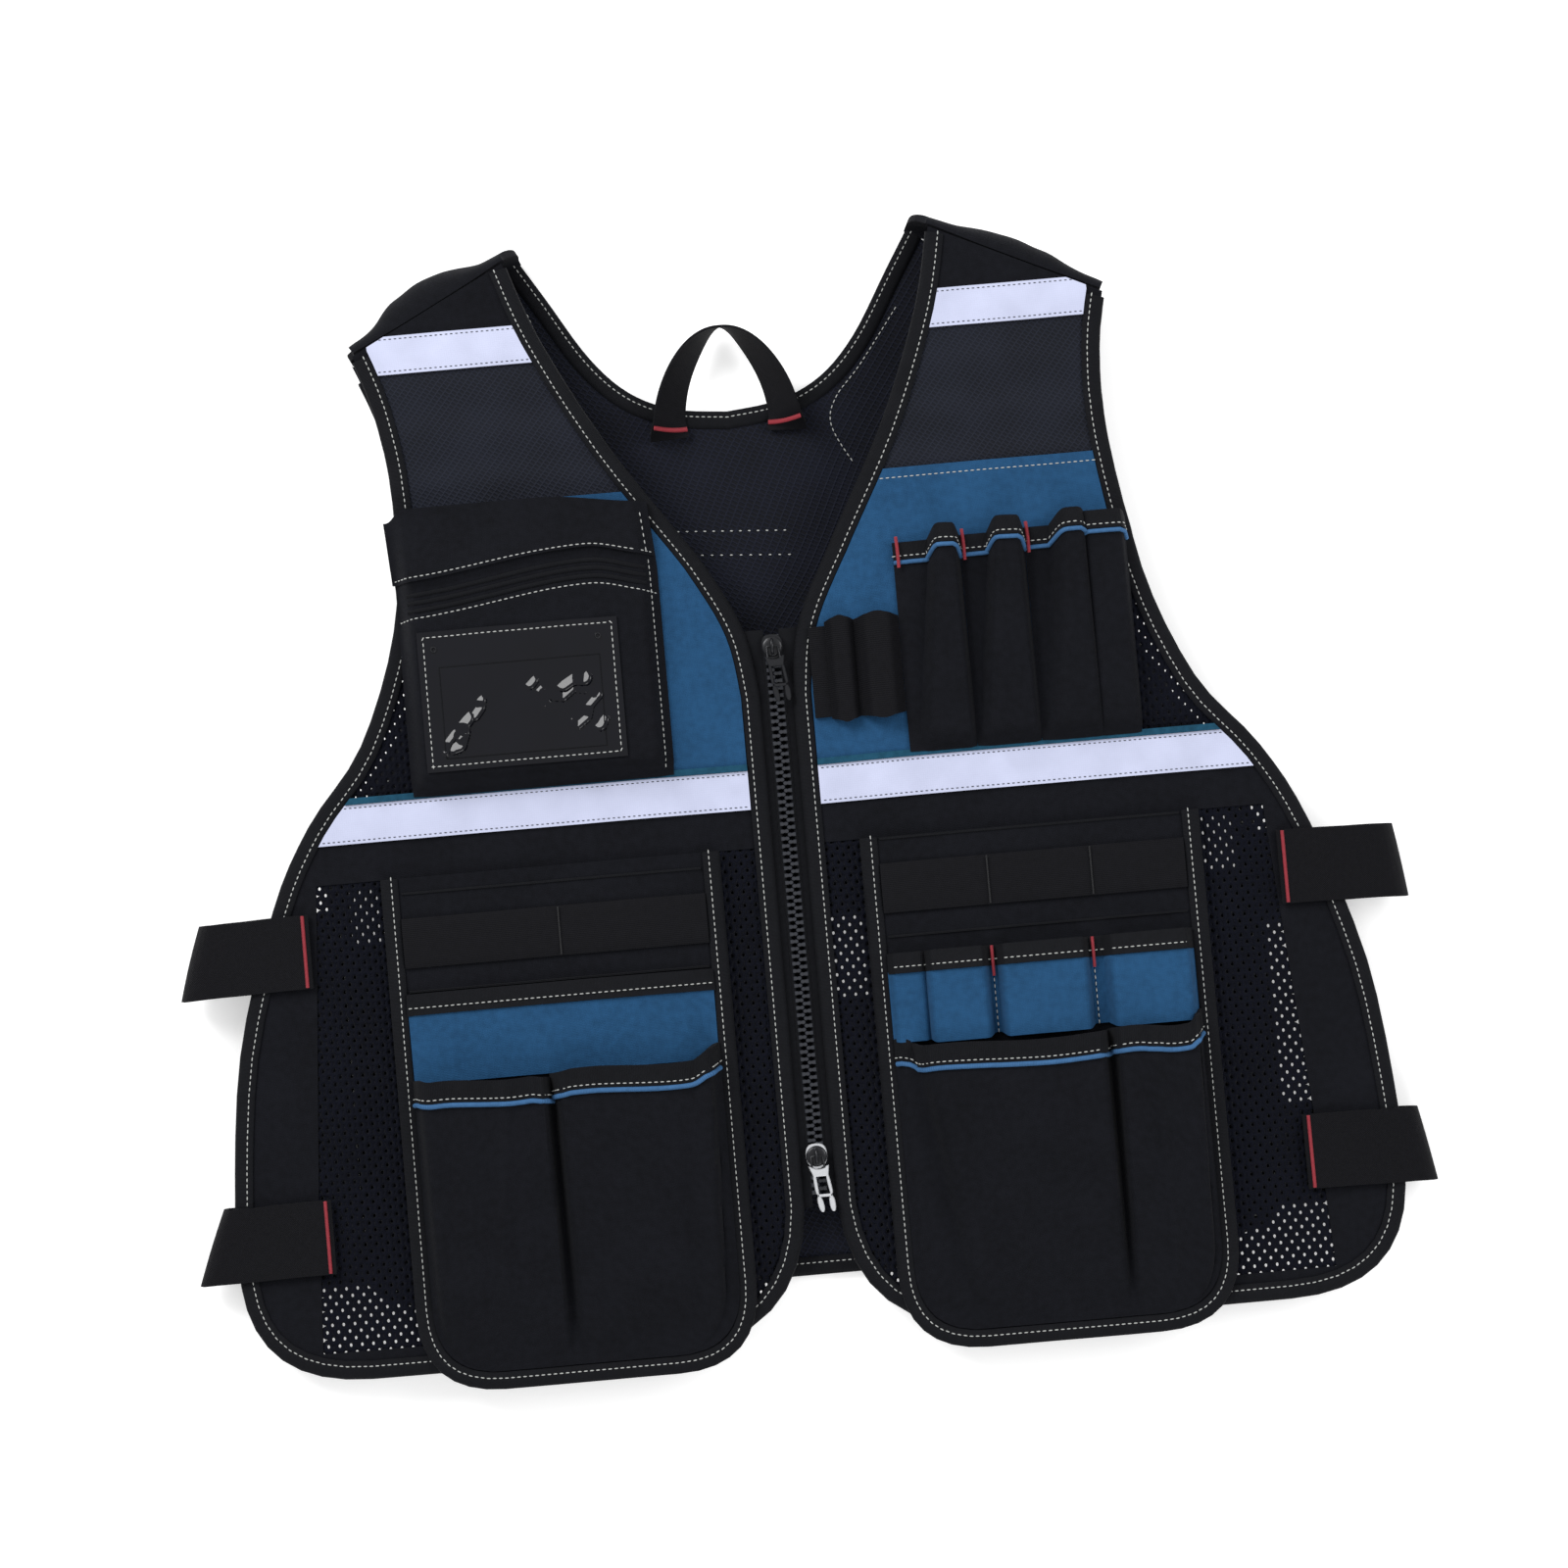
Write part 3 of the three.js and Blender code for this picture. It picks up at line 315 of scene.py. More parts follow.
def material(key):
    """Material by its short name, made at its first use."""
    if key not in MATERIALS:
        c = bpy.context.scene.vest_colours
        makers = {
            # 600 denier oxford polyester: dull, coarse plain weave, drawn at 1.3 mm so that it shows
            "black": lambda: woven("Oxford polyester, black", c.black, 1.3),
            "blue": lambda: woven("Oxford polyester, blue", c.blue, 1.3, tint=0.2, sheen=0.03),
            # darker, greener copy of the blue cloth: painted shade along the blue panel's lower edge
            "teal": lambda: woven("Blue cloth, darker and greener, painted shade", c.teal, 1.0),
            # knitted spacer mesh: soft, with rows of holes that catch the shadow
            "mesh": lambda: holed("Spacer mesh, black", c.mesh, turn=-48),
            "backing": lambda: holed("Spacer mesh, black, back", c.back, 2.4, 3.6, turn=-55, tint=0.55),
            "net": lambda: woven("Knitted net yarn, navy black", c.net, 0.9, own=False),
            # polyester binding tape: fine ribs across, a little sheen on the fold
            "tape": lambda: ribbed("Polyester binding tape", c.tape, 1.1),
            "webbing": lambda: ribbed("Polypropylene webbing", c.webbing, 1.5, "Y"),
            "elastic": lambda: ribbed("Knitted elastic", c.webbing, 1.7, "Y", 0.8),
            "hem": lambda: ribbed("Grosgrain pocket hem", c.tape, 1.4, depth=0.8),
            "ziptape": lambda: ribbed("Woven zip tape", c.tape, 0.9),
            "band": lambda: beaded("Glass bead tape", c.band),
            "vinyl": lambda: filmed("Clear vinyl", c.vinyl),
            "piping": lambda: ribbed("Piping cord cover", c.piping, 0.9, "Y", 0.3),
            "white": lambda: spun("Polyester thread, white", c.white),
            "red": lambda: spun("Polyester thread, red", c.red),
            "dark": lambda: spun("Polyester thread, black", c.tape),
            "silver": lambda: cast("Zinc die cast, nickel plated", c.silver, 0.6, 0.25),
            "enamel": lambda: cast("Zinc die cast, black enamel", c.enamel, 0.3, 0.3),
            "tooth": lambda: cast("Acetal, moulded dark grey", c.tooth, 0.0, 0.25),
        }
        MATERIALS[key] = makers[key]()
    return MATERIALS[key]


# Shapes of the cloth

def clamp(t, low=0.0, high=1.0):
    return min(high, max(low, t))


def ease(a, b, t):
    """0 before a, 1 after b and smooth between."""
    t = clamp((t - a) / (b - a))
    return t * t * (3 - 2 * t)


def mix(a, b, t):
    return a + (b - a) * t


def hump(a, b, c, d, t):
    """Rises from a to b, stays up to c and falls to d."""
    return ease(a, b, t) * (1 - ease(c, d, t))


def spline(rows, t):
    """Smooth curve through rows of (place, value)."""
    last = len(rows) - 2
    i = next((k for k in range(last) if t < rows[k + 1][0]), last)
    (x0, a), (x1, b) = rows[i], rows[i + 1]
    xp, p = rows[max(i - 1, 0)]
    xn, n = rows[min(i + 2, last + 1)]
    wide = x1 - x0
    m0 = (b - p) / (x1 - xp) * wide
    m1 = (n - a) / (xn - x0) * wide
    s = clamp((t - x0) / wide, -1, 2)
    return (a * (2 * s**3 - 3 * s**2 + 1) + m0 * (s**3 - 2 * s**2 + s)
            + b * (3 * s**2 - 2 * s**3) + m1 * (s**3 - s**2))


def grain(x, y, size, seed):
    """Noise with grains of about the size."""
    return noise.noise(Vector((x / size, y / size, seed * 7.3)))


def ground(x, y):
    """Underside of the fronts: their fall to the hem, arch, quilted rows under the shoulder band and ripples."""
    level = FRONT_RISE * spline(FALL, y / LENGTH) + CROWN_RISE * spline(CROWN, abs(x) / HALF_WIDTH)
    quilted = 0.6 * math.sin(0.23 * y + 0.01 * x) * hump(440, 455, 495, 515, y)
    return level + quilted + sizes().ripple * (grain(x, y * 0.5, 60, 1) + 0.45 * grain(x, y, 24, 2))


def floor(x, y):
    """What the back lies on."""
    return 0.0


def on(surface, lift):
    """The surface raised by a lift."""
    return lambda x, y: surface(x, y) + lift


def smooth(points, pieces=6):
    """Points of a smooth curve through the given ones."""
    ends = [points[0], *points, points[-1]]
    out = []
    for i in range(len(points) - 1):
        p = ends[i:i + 4]
        for k in range(pieces):
            t = k / pieces
            out.append(tuple(0.5 * ((2 * b) + (c - a) * t + (2 * a - 5 * b + 4 * c - d) * t**2
                             + (3 * b - a - 3 * c + d) * t**3) for a, b, c, d in zip(*p)))
    return out + [tuple(points[-1])]


def bend(a, b, c, pieces=8):
    """Curve from a to c that is pulled towards b."""
    return [tuple((1 - t)**2 * p + 2 * t * (1 - t) * q + t * t * r for p, q, r in zip(a, b, c))
            for t in steps(0, 1, pieces)]


def steps(a, b, count):
    """Numbers from a to b in a count of steps."""
    return [mix(a, b, k / count) for k in range(count + 1)]


def at(rows):
    """Points from shares of the half width and the length."""
    return [(across * HALF_WIDTH, up * LENGTH) for across, up in rows]


def flip(path, side):
    """The path on the right side, or mirrored to the left one."""
    return [(side * p[0], *p[1:]) for p in path]


def evenly(path, step, closed=False):
    """The path cut into steps of about the same length, with its corners kept."""
    path = [*path, path[0]] if closed else path
    out = []
    for a, b in zip(path, path[1:]):
        count = max(1, round(math.dist(a, b) / step))
        out += [tuple(mix(p, q, k / count) for p, q in zip(a, b)) for k in range(count)]
    return out if closed else out + [tuple(path[-1])]


def offset(path, distance, closed=False):
    """The path moved to its left."""
    count = len(path)
    out = []
    for i, (x, y) in enumerate(path):
        before = path[i - 1] if i or closed else None
        after = path[(i + 1) % count] if i + 1 < count or closed else None
        sides = []
        for a, b in ((before, (x, y)), ((x, y), after)):
            if a and b and math.dist(a, b) > 1e-6:
                gap = math.dist(a, b)
                sides.append(((a[1] - b[1]) / gap, (b[0] - a[0]) / gap))
        n1, n2 = sides[0], sides[-1]
        scale = distance / max(0.4, 1 + n1[0] * n2[0] + n1[1] * n2[1])
        out.append((x + (n1[0] + n2[0]) * scale, y + (n1[1] + n2[1]) * scale))
    return out


def reach(outline):
    """Left, low, right and high of an outline."""
    xs, ys = zip(*outline)
    return min(xs), min(ys), max(xs), max(ys)


def boxed(x0, y0, x1, y1):
    """Corners of a box, counterclockwise."""
    return [(x0, y0), (x1, y0), (x1, y1), (x0, y1)]


def inside(polygon, x, y):
    """True where the point lies in the polygon."""
    odd = False
    x0, y0 = polygon[-1]
    for x1, y1 in polygon:
        if (y1 > y) != (y0 > y) and x < (x0 - x1) * (y - y1) / (y0 - y1) + x1:
            odd = not odd
        x0, y0 = x1, y1
    return odd


def front_path():
    """Edge of the right front from the shoulder down the neck and round to the armhole."""
    zip_top = (ZIP_HALF, 0.576 * LENGTH)
    zip_end = (ZIP_HALF, 0.115 * LENGTH)
    hem = (0.282 * HALF_WIDTH, 0)
    return [*smooth([*at(NECKLINE), zip_top], 5), *bend(zip_end, (0.05 * HALF_WIDTH, 0), hem),
            *bend((0.79 * HALF_WIDTH, 0), (0.985 * HALF_WIDTH, 0), at(SIDE)[0])[:-1], *smooth(at(SIDE), 4)]


def panel_path():
    """Edge of the right pocket panel, down its inner side, round the bottom and up."""
    left, low, right, high = PANEL
    r = PANEL_CORNER
    return [(left, high), *bend((left, low + r), (left, low), (left + r, low)),
            *bend((right - r, low), (right, low), (right, low + r)), (right, high)]


FRONT = front_path()
PANEL_PATH = panel_path()
PANEL_TOP = PANEL[3]
NET_WINDOWS = {
    "side_net": [(PANEL[2] - 6, 13), (0.872 * HALF_WIDTH, 13), (0.859 * HALF_WIDTH, 90),
                 (0.819 * HALF_WIDTH, PANEL_TOP), (PANEL[2] - 6, PANEL_TOP)],
    "centre_net": [(ZIP_HALF, 0), (PANEL[0] + 6, 0), (PANEL[0] + 6, PANEL_TOP), (ZIP_HALF, PANEL_TOP)],
    "armhole_net": [(186.3, CHEST_BAND + BAND + 0.3), (HALF_WIDTH, CHEST_BAND + BAND + 0.3),
                    (186.3, CHEST_BAND + BAND + 80)],
}
INSIDE = offset(FRONT, 8.2, True)  # the front inside its binding
SEAM_IN, SEAM_OUT = Vector(FRONT[0]), Vector(FRONT[-1])
SEAM_NORMAL = Vector((-(SEAM_OUT - SEAM_IN).y, (SEAM_OUT - SEAM_IN).x)).normalized()


def below_seam(x, y, depth=SEAM_GAP):
    """True on the front's side of the shoulder seam."""
    return (Vector((abs(x), y)) - SEAM_IN).dot(SEAM_NORMAL) < -depth


# Meshes

def sway(x, y, z):
    """The shoulders lie a little to the left; the back's neck starts its lean lower than the fronts."""
    front = 0 if abs(x) < 50 and y > 466 else ease(5, 12, z)
    return -mix(13 * ease(385, 475, y), 12 * clamp((y - 400) / 173, 0, 1.1), front)


def raw(p):
    """A point in metres, in the frame of the solids."""
    return ((p[0] + sway(*p)) * MM, p[1] * MM + HEM, p[2] * MM)


def made(name, points, faces, keys, maps=None, kinds=None, sharp=50):
    """Object from points in millimetres, with a map along the cloth."""
    mesh = bpy.data.meshes.new(name)
    mesh.from_pydata([raw(p) for p in points], [], faces)
    for key in keys if isinstance(keys, tuple) else (keys,):
        mesh.materials.append(material(key))
    if maps:
        layer = mesh.uv_layers.new(name="cloth")
        for loop in mesh.loops:
            layer.data[loop.index].uv = [m * MM for m in maps[loop.vertex_index]]
    if kinds:
        mesh.polygons.foreach_set("material_index", kinds)
    mesh.shade_smooth()
    mesh.set_sharp_from_angle(angle=math.radians(sharp))
    piece = bpy.data.objects.new(name, mesh)
    bpy.context.collection.objects.link(piece)
    return piece


def finish(piece, slot, *nodes, body="vest"):
    """Lets a piece ride on its body and stand for its nodes."""
    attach(piece, body)
    if nodes:
        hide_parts(*nodes)
    return piece


def drape(name, outline, surface, thick, keys, step=5.0, keep=None, loops=(), kind=None):
    """Cloth with any outline laid over a surface."""
    loops = [evenly(outline, step, True), *[evenly(loop, step, True) for loop in loops]]
    points = [p for loop in loops for p in loop]
    edges, first = [], 0
    for loop in loops:
        edges += [(first + i, first + (i + 1) % len(loop)) for i in range(len(loop))]
        first += len(loop)
    left, low, right, high = reach(outline)
    row, y = 0, low + step / 2
    margin = step * 0.45
    around = ((0, 0), (margin, 0), (-margin, 0), (0, margin), (0, -margin))
    while y < high:
        x = left + step * (0.5 if row % 2 else 1.0)
        while x < right:
            if all(inside(outline, x + a, y + b) for a, b in around):
                points.append((x, y))
            x += step
        y += step * 0.87
        row += 1
    flat, _, faces, _, _, _ = delaunay_2d_cdt([Vector(p) for p in points], edges, [], 0, 1e-3)
    kept = []
    for face in faces:
        cx = sum(flat[i].x for i in face) / len(face)
        cy = sum(flat[i].y for i in face) / len(face)
        if inside(outline, cx, cy) and (keep is None or keep(cx, cy)):
            kept.append((face, (cx, cy)))
    used = sorted({i for face, _ in kept for i in face})
    index = {old: new for new, old in enumerate(used)}
    count = len(used)
    under = [(flat[i].x, flat[i].y, surface(flat[i].x, flat[i].y)) for i in used]
    whole = [*under, *[(x, y, z + thick) for x, y, z in under]]
    sides, out, kinds = set(), [], []
    for face, centre in kept:
        ring = [index[i] for i in face]
        out += [ring[::-1], [i + count for i in ring]]
        kinds += [kind(*centre) if kind else 0] * 2
        sides |= {(ring[k], ring[(k + 1) % len(ring)]) for k in range(len(ring))}
    walls = sorted((a, b) for a, b in sides if (b, a) not in sides)
    out += [(a, b, b + count, a + count) for a, b in walls]
    kinds += [0] * len(walls)
    return made(name, whole, out, keys, [(x, y) for x, y, _ in whole], kinds)


def lifted(shape, lift):
    """The shape moved along its own upward normal."""
    def moved(u, v):
        e = 0.004
        p = Vector(shape(u, v))
        a = Vector(shape(min(1, u + e), v)) - Vector(shape(max(0, u - e), v))
        b = Vector(shape(u, min(1, v + e))) - Vector(shape(u, max(0, v - e)))
        return tuple(p + a.cross(b).normalized() * lift)
    return moved


def patch(name, across, up, shape, thick, keys, kind=None, sharp=50):
    """Closed cloth over a grid; shape(u, v) is its underside, with u to the right and v up."""
    rows = [[Vector(shape(i / across, j / up)) for i in range(across + 1)] for j in range(up + 1)]
    wide = across + 1
    low, high, maps = [], [], []
    for j, row in enumerate(rows):
        for i, p in enumerate(row):
            a = row[min(i + 1, across)] - row[max(i - 1, 0)]
            b = rows[min(j + 1, up)][i] - rows[max(j - 1, 0)][i]
            low.append(tuple(p))
            high.append(tuple(p + a.cross(b).normalized() * thick))
            left = maps[-1][0] + (p - row[i - 1]).length if i else row[0].x
            down = maps[-wide][1] + (p - rows[j - 1][i]).length if j else p.y
            maps.append((left, down))
    count = len(low)
    faces, kinds = [], []
    for j in range(up):
        for i in range(across):
            a = j * wide + i
            faces += [(a, a + wide, a + wide + 1, a + 1),
                      (a + count, a + 1 + count, a + wide + 1 + count, a + wide + count)]
            kinds += [kind((i + 0.5) / across, (j + 0.5) / up) if kind else 0] * 2
    rim = [*range(across)] + [across + j * wide for j in range(up)]
    rim += [up * wide + across - j for j in range(across)] + [(up - j) * wide for j in range(up)]
    for a, b in zip(rim, rim[1:] + rim[:1]):
        faces.append((a, b, b + count, a + count))
        kinds.append(0)
    return made(name, low + high, faces, keys, maps * 2, kinds, sharp)


def sweep(name, path, section, surface, key, closed=False):
    """Tape along a path: section is a closed row of (inward, up), inward to the path's left."""
    maps, points, along = [], [], 0.0
    lines = [offset(path, d, closed) for d, _ in section]
    for i in range(len(path)):
        along += math.dist(path[i], path[i - 1]) if i else 0
        across = 0.0
        for k, (_, h) in enumerate(section):
            x, y = lines[k][i]
            points.append((x, y, surface(x, y) + h))
            across += math.dist(section[k], section[k - 1]) if k else 0
            maps.append((along, across))
    n, faces = len(section), []
    count = len(path)
    for i in range(count if closed else count - 1):
        for k in range(n):
            a, b = i * n + k, i * n + (k + 1) % n
            c, d = (i + 1) % count * n + (k + 1) % n, (i + 1) % count * n + k
            faces.append((a, b, c, d))
    if not closed:
        faces += [tuple(range(n))[::-1], tuple(range((count - 1) * n, count * n))]
    if sum(section[k - 1][0] * section[k][1] - section[k][0] * section[k - 1][1] for k in range(n)) > 0:
        faces = [f[::-1] for f in faces]
    return made(name, points, faces, key, maps)


def rope(name, lines, radius, key, sides=8):
    """Cords along lists of points."""
    points, maps, faces = [], [], []
    for line in lines:
        first = len(points)
        for i, p in enumerate(line):
            p = Vector(p)
            way = (Vector(line[min(i + 1, len(line) - 1)]) - Vector(line[max(i - 1, 0)])).normalized()
            side = way.cross(Vector((0, 0, 1))).normalized()
            top = side.cross(way)
            for k in range(sides):
                turn = 2 * math.pi * k / sides
                points.append(tuple(p + (side * math.cos(turn) + top * math.sin(turn)) * radius))
                maps.append((radius * turn, i * 2.0))
        for i in range(len(line) - 1):
            for k in range(sides):
                a, b = first + i * sides + k, first + i * sides + (k + 1) % sides
                faces.append((a, b, b + sides, a + sides))
        end = len(points) - sides
        faces += [tuple(range(first, first + sides))[::-1], tuple(range(end, end + sides))]
    return made(name, points, faces, key, maps)


def plates(name, outlines, z, thick, key, bevel=0.25):
    """Flat metal parts with broken edges; outlines run counterclockwise."""
    points, faces = [], []
    for line in outlines:
        first, n = len(points), len(line)
        for inward, up in ((bevel, 0), (0, bevel), (0, thick - bevel), (bevel, thick)):
            points += [(x, y, z + up) for x, y in offset(line, inward, True)]
        faces += [tuple(range(first, first + n))[::-1], tuple(range(first + 3 * n, first + 4 * n))]
        for a in range(first, first + 3 * n, n):
            faces += [(a + i, a + (i + 1) % n, a + n + (i + 1) % n, a + n + i) for i in range(n)]
    return made(name, points, faces, key, sharp=35)


def round_bar(x, y, half_x, half_y, lean=0.0, corner=1.0, pieces=20):
    """Outline of an oval or round-ended bar that leans by a share of its height."""
    out = []
    for k in range(pieces):
        t = 2 * math.pi * k / pieces
        c, s = math.cos(t), math.sin(t)
        up = half_y * math.copysign(abs(s) ** corner, s)
        out.append((x + half_x * math.copysign(abs(c) ** corner, c) + lean * up, y + up))
    return out


def on_path(path, surface, lift, step=4.0):
    """Points over a surface along a path."""
    return [(x, y, surface(x, y) + lift) for x, y in evenly(path, step)]


def on_shape(shape, line, lift, steps=40):
    """Points over a shape along a line of (u, v)."""
    over = lifted(shape, lift)
    return [over(*p) for p in evenly(line, 1 / steps)]


# Trees for what repeats

def new_tree(name, inputs):
    """Starts a tree; gives it with what goes into it."""
    tree = bpy.data.node_groups.new(name, "GeometryNodeTree")
    tree.interface.new_socket("Geometry", in_out="INPUT", socket_type="NodeSocketGeometry")
    for label, kind in inputs:
        tree.interface.new_socket(label, in_out="INPUT", socket_type=kind)
    tree.interface.new_socket("Geometry", in_out="OUTPUT", socket_type="NodeSocketGeometry")
    return tree, add(tree, "NodeGroupInput").outputs


def close_tree(tree, instances, thread):
    """Ends a tree: instances made real, then their material."""
    real = add(tree, "GeometryNodeRealizeInstances", {"Geometry": instances}).outputs[0]
    painted = add(tree, "GeometryNodeSetMaterial", {"Geometry": real, "Material": thread}).outputs[0]
    shaded = add(tree, "GeometryNodeSetShadeSmooth", {"Geometry": painted}).outputs[0]
    add(tree, "NodeGroupOutput", {"Geometry": shaded})
    return tree


def stitch_tree():
    """Stitches along the edges of a mesh."""
    tree, given = new_tree("Stitches along seams", [
        ("Pitch", "NodeSocketFloat"), ("Size", "NodeSocketVector"), ("Thread", "NodeSocketMaterial")])
    seams = add(tree, "GeometryNodeMeshToCurve", {"Mesh": given["Geometry"]}).outputs[0]
    level = add(tree, "GeometryNodeSetCurveNormal", {"Curve": seams}, mode="Z_UP").outputs[0]
    points = add(tree, "GeometryNodeCurveToPoints", {"Curve": level, "Length": given["Pitch"]}, mode="LENGTH")
    turn = add(tree, "FunctionNodeAxesToRotation", {"Primary Axis": points.outputs["Tangent"],
               "Secondary Axis": points.outputs["Normal"]}, primary_axis="X", secondary_axis="Y")
    bead = add(tree, "GeometryNodeMeshUVSphere", {"Segments": 6, "Rings": 4, "Radius": 0.5})
    long = add(tree, "GeometryNodeTransform", {"Geometry": bead.outputs[0], "Scale": given["Size"]})
    sewn = add(tree, "GeometryNodeInstanceOnPoints", {"Points": points.outputs["Points"],
               "Instance": long.outputs[0], "Rotation": turn.outputs[0]}).outputs[0]
    return close_tree(tree, sewn, given["Thread"])


def net_tree():
    """A flat oval loop of yarn round each point."""
    tree, given = new_tree("Net loops", [
        ("Across", "NodeSocketFloat"), ("Up", "NodeSocketFloat"), ("Yarn", "NodeSocketFloat"),
        ("Thread", "NodeSocketMaterial")])
    ring = add(tree, "GeometryNodeCurvePrimitiveCircle", {"Resolution": 10, "Radius": 1.0}).outputs[0]
    shape = add(tree, "ShaderNodeCombineXYZ", {"X": given["Across"], "Y": given["Up"], "Z": 1.0}).outputs[0]
    oval = add(tree, "GeometryNodeTransform", {"Geometry": ring, "Scale": shape}).outputs[0]
    level = add(tree, "GeometryNodeSetCurveNormal", {"Curve": oval}, mode="Z_UP").outputs[0]
    strand = add(tree, "GeometryNodeCurvePrimitiveCircle", {"Resolution": 4, "Radius": given["Yarn"]}).outputs[0]
    flat = add(tree, "GeometryNodeTransform", {"Geometry": strand, "Scale": (1.0, 0.45, 1.0)}).outputs[0]
    loop = add(tree, "GeometryNodeCurveToMesh", {"Curve": level, "Profile Curve": flat}).outputs[0]
    knitted = add(tree, "GeometryNodeInstanceOnPoints", {"Points": given["Geometry"], "Instance": loop})
    return close_tree(tree, knitted.outputs[0], given["Thread"])


def tooth_tree():
    """A moulded tooth on each point."""
    tree, given = new_tree("Zip teeth", [
        ("Tooth", "NodeSocketObject"), ("Turn", "NodeSocketRotation"), ("Thread", "NodeSocketMaterial")])
    tooth = add(tree, "GeometryNodeObjectInfo", {"Object": given["Tooth"]}).outputs["Geometry"]
    row = add(tree, "GeometryNodeInstanceOnPoints", {"Points": given["Geometry"], "Instance": tooth,
              "Rotation": given["Turn"]}).outputs[0]
    return close_tree(tree, row, given["Thread"])


TREES = {}


def grown(name, points, edges, maker, values):
    """Object grown by a tree from points and edges, as a plain mesh."""
    if maker not in TREES:
        TREES[maker] = maker()
    tree = TREES[maker]
    mesh = bpy.data.meshes.new(name + "_seed")
    mesh.from_pydata([raw(p) for p in points], edges, [])
    piece = bpy.data.objects.new(name, mesh)
    bpy.context.collection.objects.link(piece)
    modifier = piece.modifiers.new(tree.name, "NODES")
    modifier.node_group = tree
    for item in tree.interface.items_tree:
        if item.in_out == "INPUT" and item.name in values:
            modifier[item.identifier] = values[item.name]
    graph = bpy.context.evaluated_depsgraph_get()
    plain = bpy.data.meshes.new_from_object(piece.evaluated_get(graph))
    piece.modifiers.remove(modifier)
    piece.data = plain
    bpy.data.meshes.remove(mesh)
    plain.name = name
    return piece


def sew(name, lines, thread="white", pitch=None, size=None):
    """Stitches along lists of points."""
    s = sizes()
    points, edges = [], []
    for line in lines:
        first = len(points)
        points += line
        edges += [(first + i, first + i + 1) for i in range(len(line) - 1)]
    size = size or (s.stitch_length, s.stitch_width, 0.55)
    values = {"Pitch": (pitch or s.stitch_pitch) * MM, "Size": Vector(size) * MM, "Thread": material(thread)}
    piece = grown(name, points, edges, stitch_tree, values)
    return finish(piece, "reflective_tape" if thread == "white" else "binding_tape")


def tack(name, lines, wide=None, thread="red"):
    """Bar tacks: close threads across lists of points."""
    return sew(name, lines, thread, 0.55, (0.7, wide or sizes().tuft, 0.9))


def net_points(window, keep, surface, lift):
    """Middles of the holes of a net."""
    s = sizes()
    left, low, right, high = reach(window)
    points, row, y = [], 0, low
    while y < high:
        x = left + (s.net_across / 2 if row % 2 else 0)
        while x < right:
            if keep(x, y):
                points.append((x, y, surface(x, y) + lift))
            x += s.net_across
        y += s.net_up
        row += 1
    return points


def knit(name, points, yarn):
    """Net of yarn loops round its holes."""
    s = sizes()
    values = {"Across": s.net_across * 0.355 * MM, "Up": s.net_up * 0.63 * MM, "Yarn": yarn * MM,
              "Thread": material("net")}
    return grown(name, points, [], net_tree, values)


# Pieces

# sections of the bindings: distance in from the edge, and height over the surface below
BIND = [(8, 2.1), (8.1, 2.9), (7.2, 3.5), (3.8, 3.65), (0.8, 3.5), (-0.8, 2.9), (-1.5, 1.6), (-1.3, 0.4),
        (-0.4, 0), (8, 0)]
BACK_BIND = [(8, 3.1), (8.1, 3.9), (7.2, 4.5), (3.8, 4.6), (0.8, 4.4), (-0.8, 3.8), (-1.5, 2.4), (-1.3, 0.6),
             (-0.5, 0.05), (8, 0.05)]
PANEL_BIND = [(8, 5.1), (8.1, 5.9), (7.2, 6.5), (3.8, 6.65), (0.9, 6.5), (-0.6, 6), (-0.9, 5), (-0.6, 4.1),
              (0.3, 3.75), (8, 3.75)]
SIDES = (("left", -1), ("right", 1))


def back_outline():
    """Right side, right half of the neck, and whole outline of the back."""
    neck, side = smooth(at(BACK_NECK), 5), smooth(at(BACK_SIDE), 5)
    return side, neck, flip(side, -1) + side[::-1] + neck + flip(neck, -1)[::-1][1:]


# left, low, right, high of the patches where the pale floor shows through both layers of net
SPECKS = {"left": [(-231, 221, -198, 251)], "right": [(198, 221, 231, 251), (15, 172, 35, 214)]}


def in_box(box, x, y):
    """True where the point lies in the box."""
    return box[0] < x < box[2] and box[1] < y < box[3]


def behind_net(x, y):
    """True where the back is open net too, behind a net of the fronts."""
    return any(in_box(box, x, y) for boxes in SPECKS.values() for box in boxes)


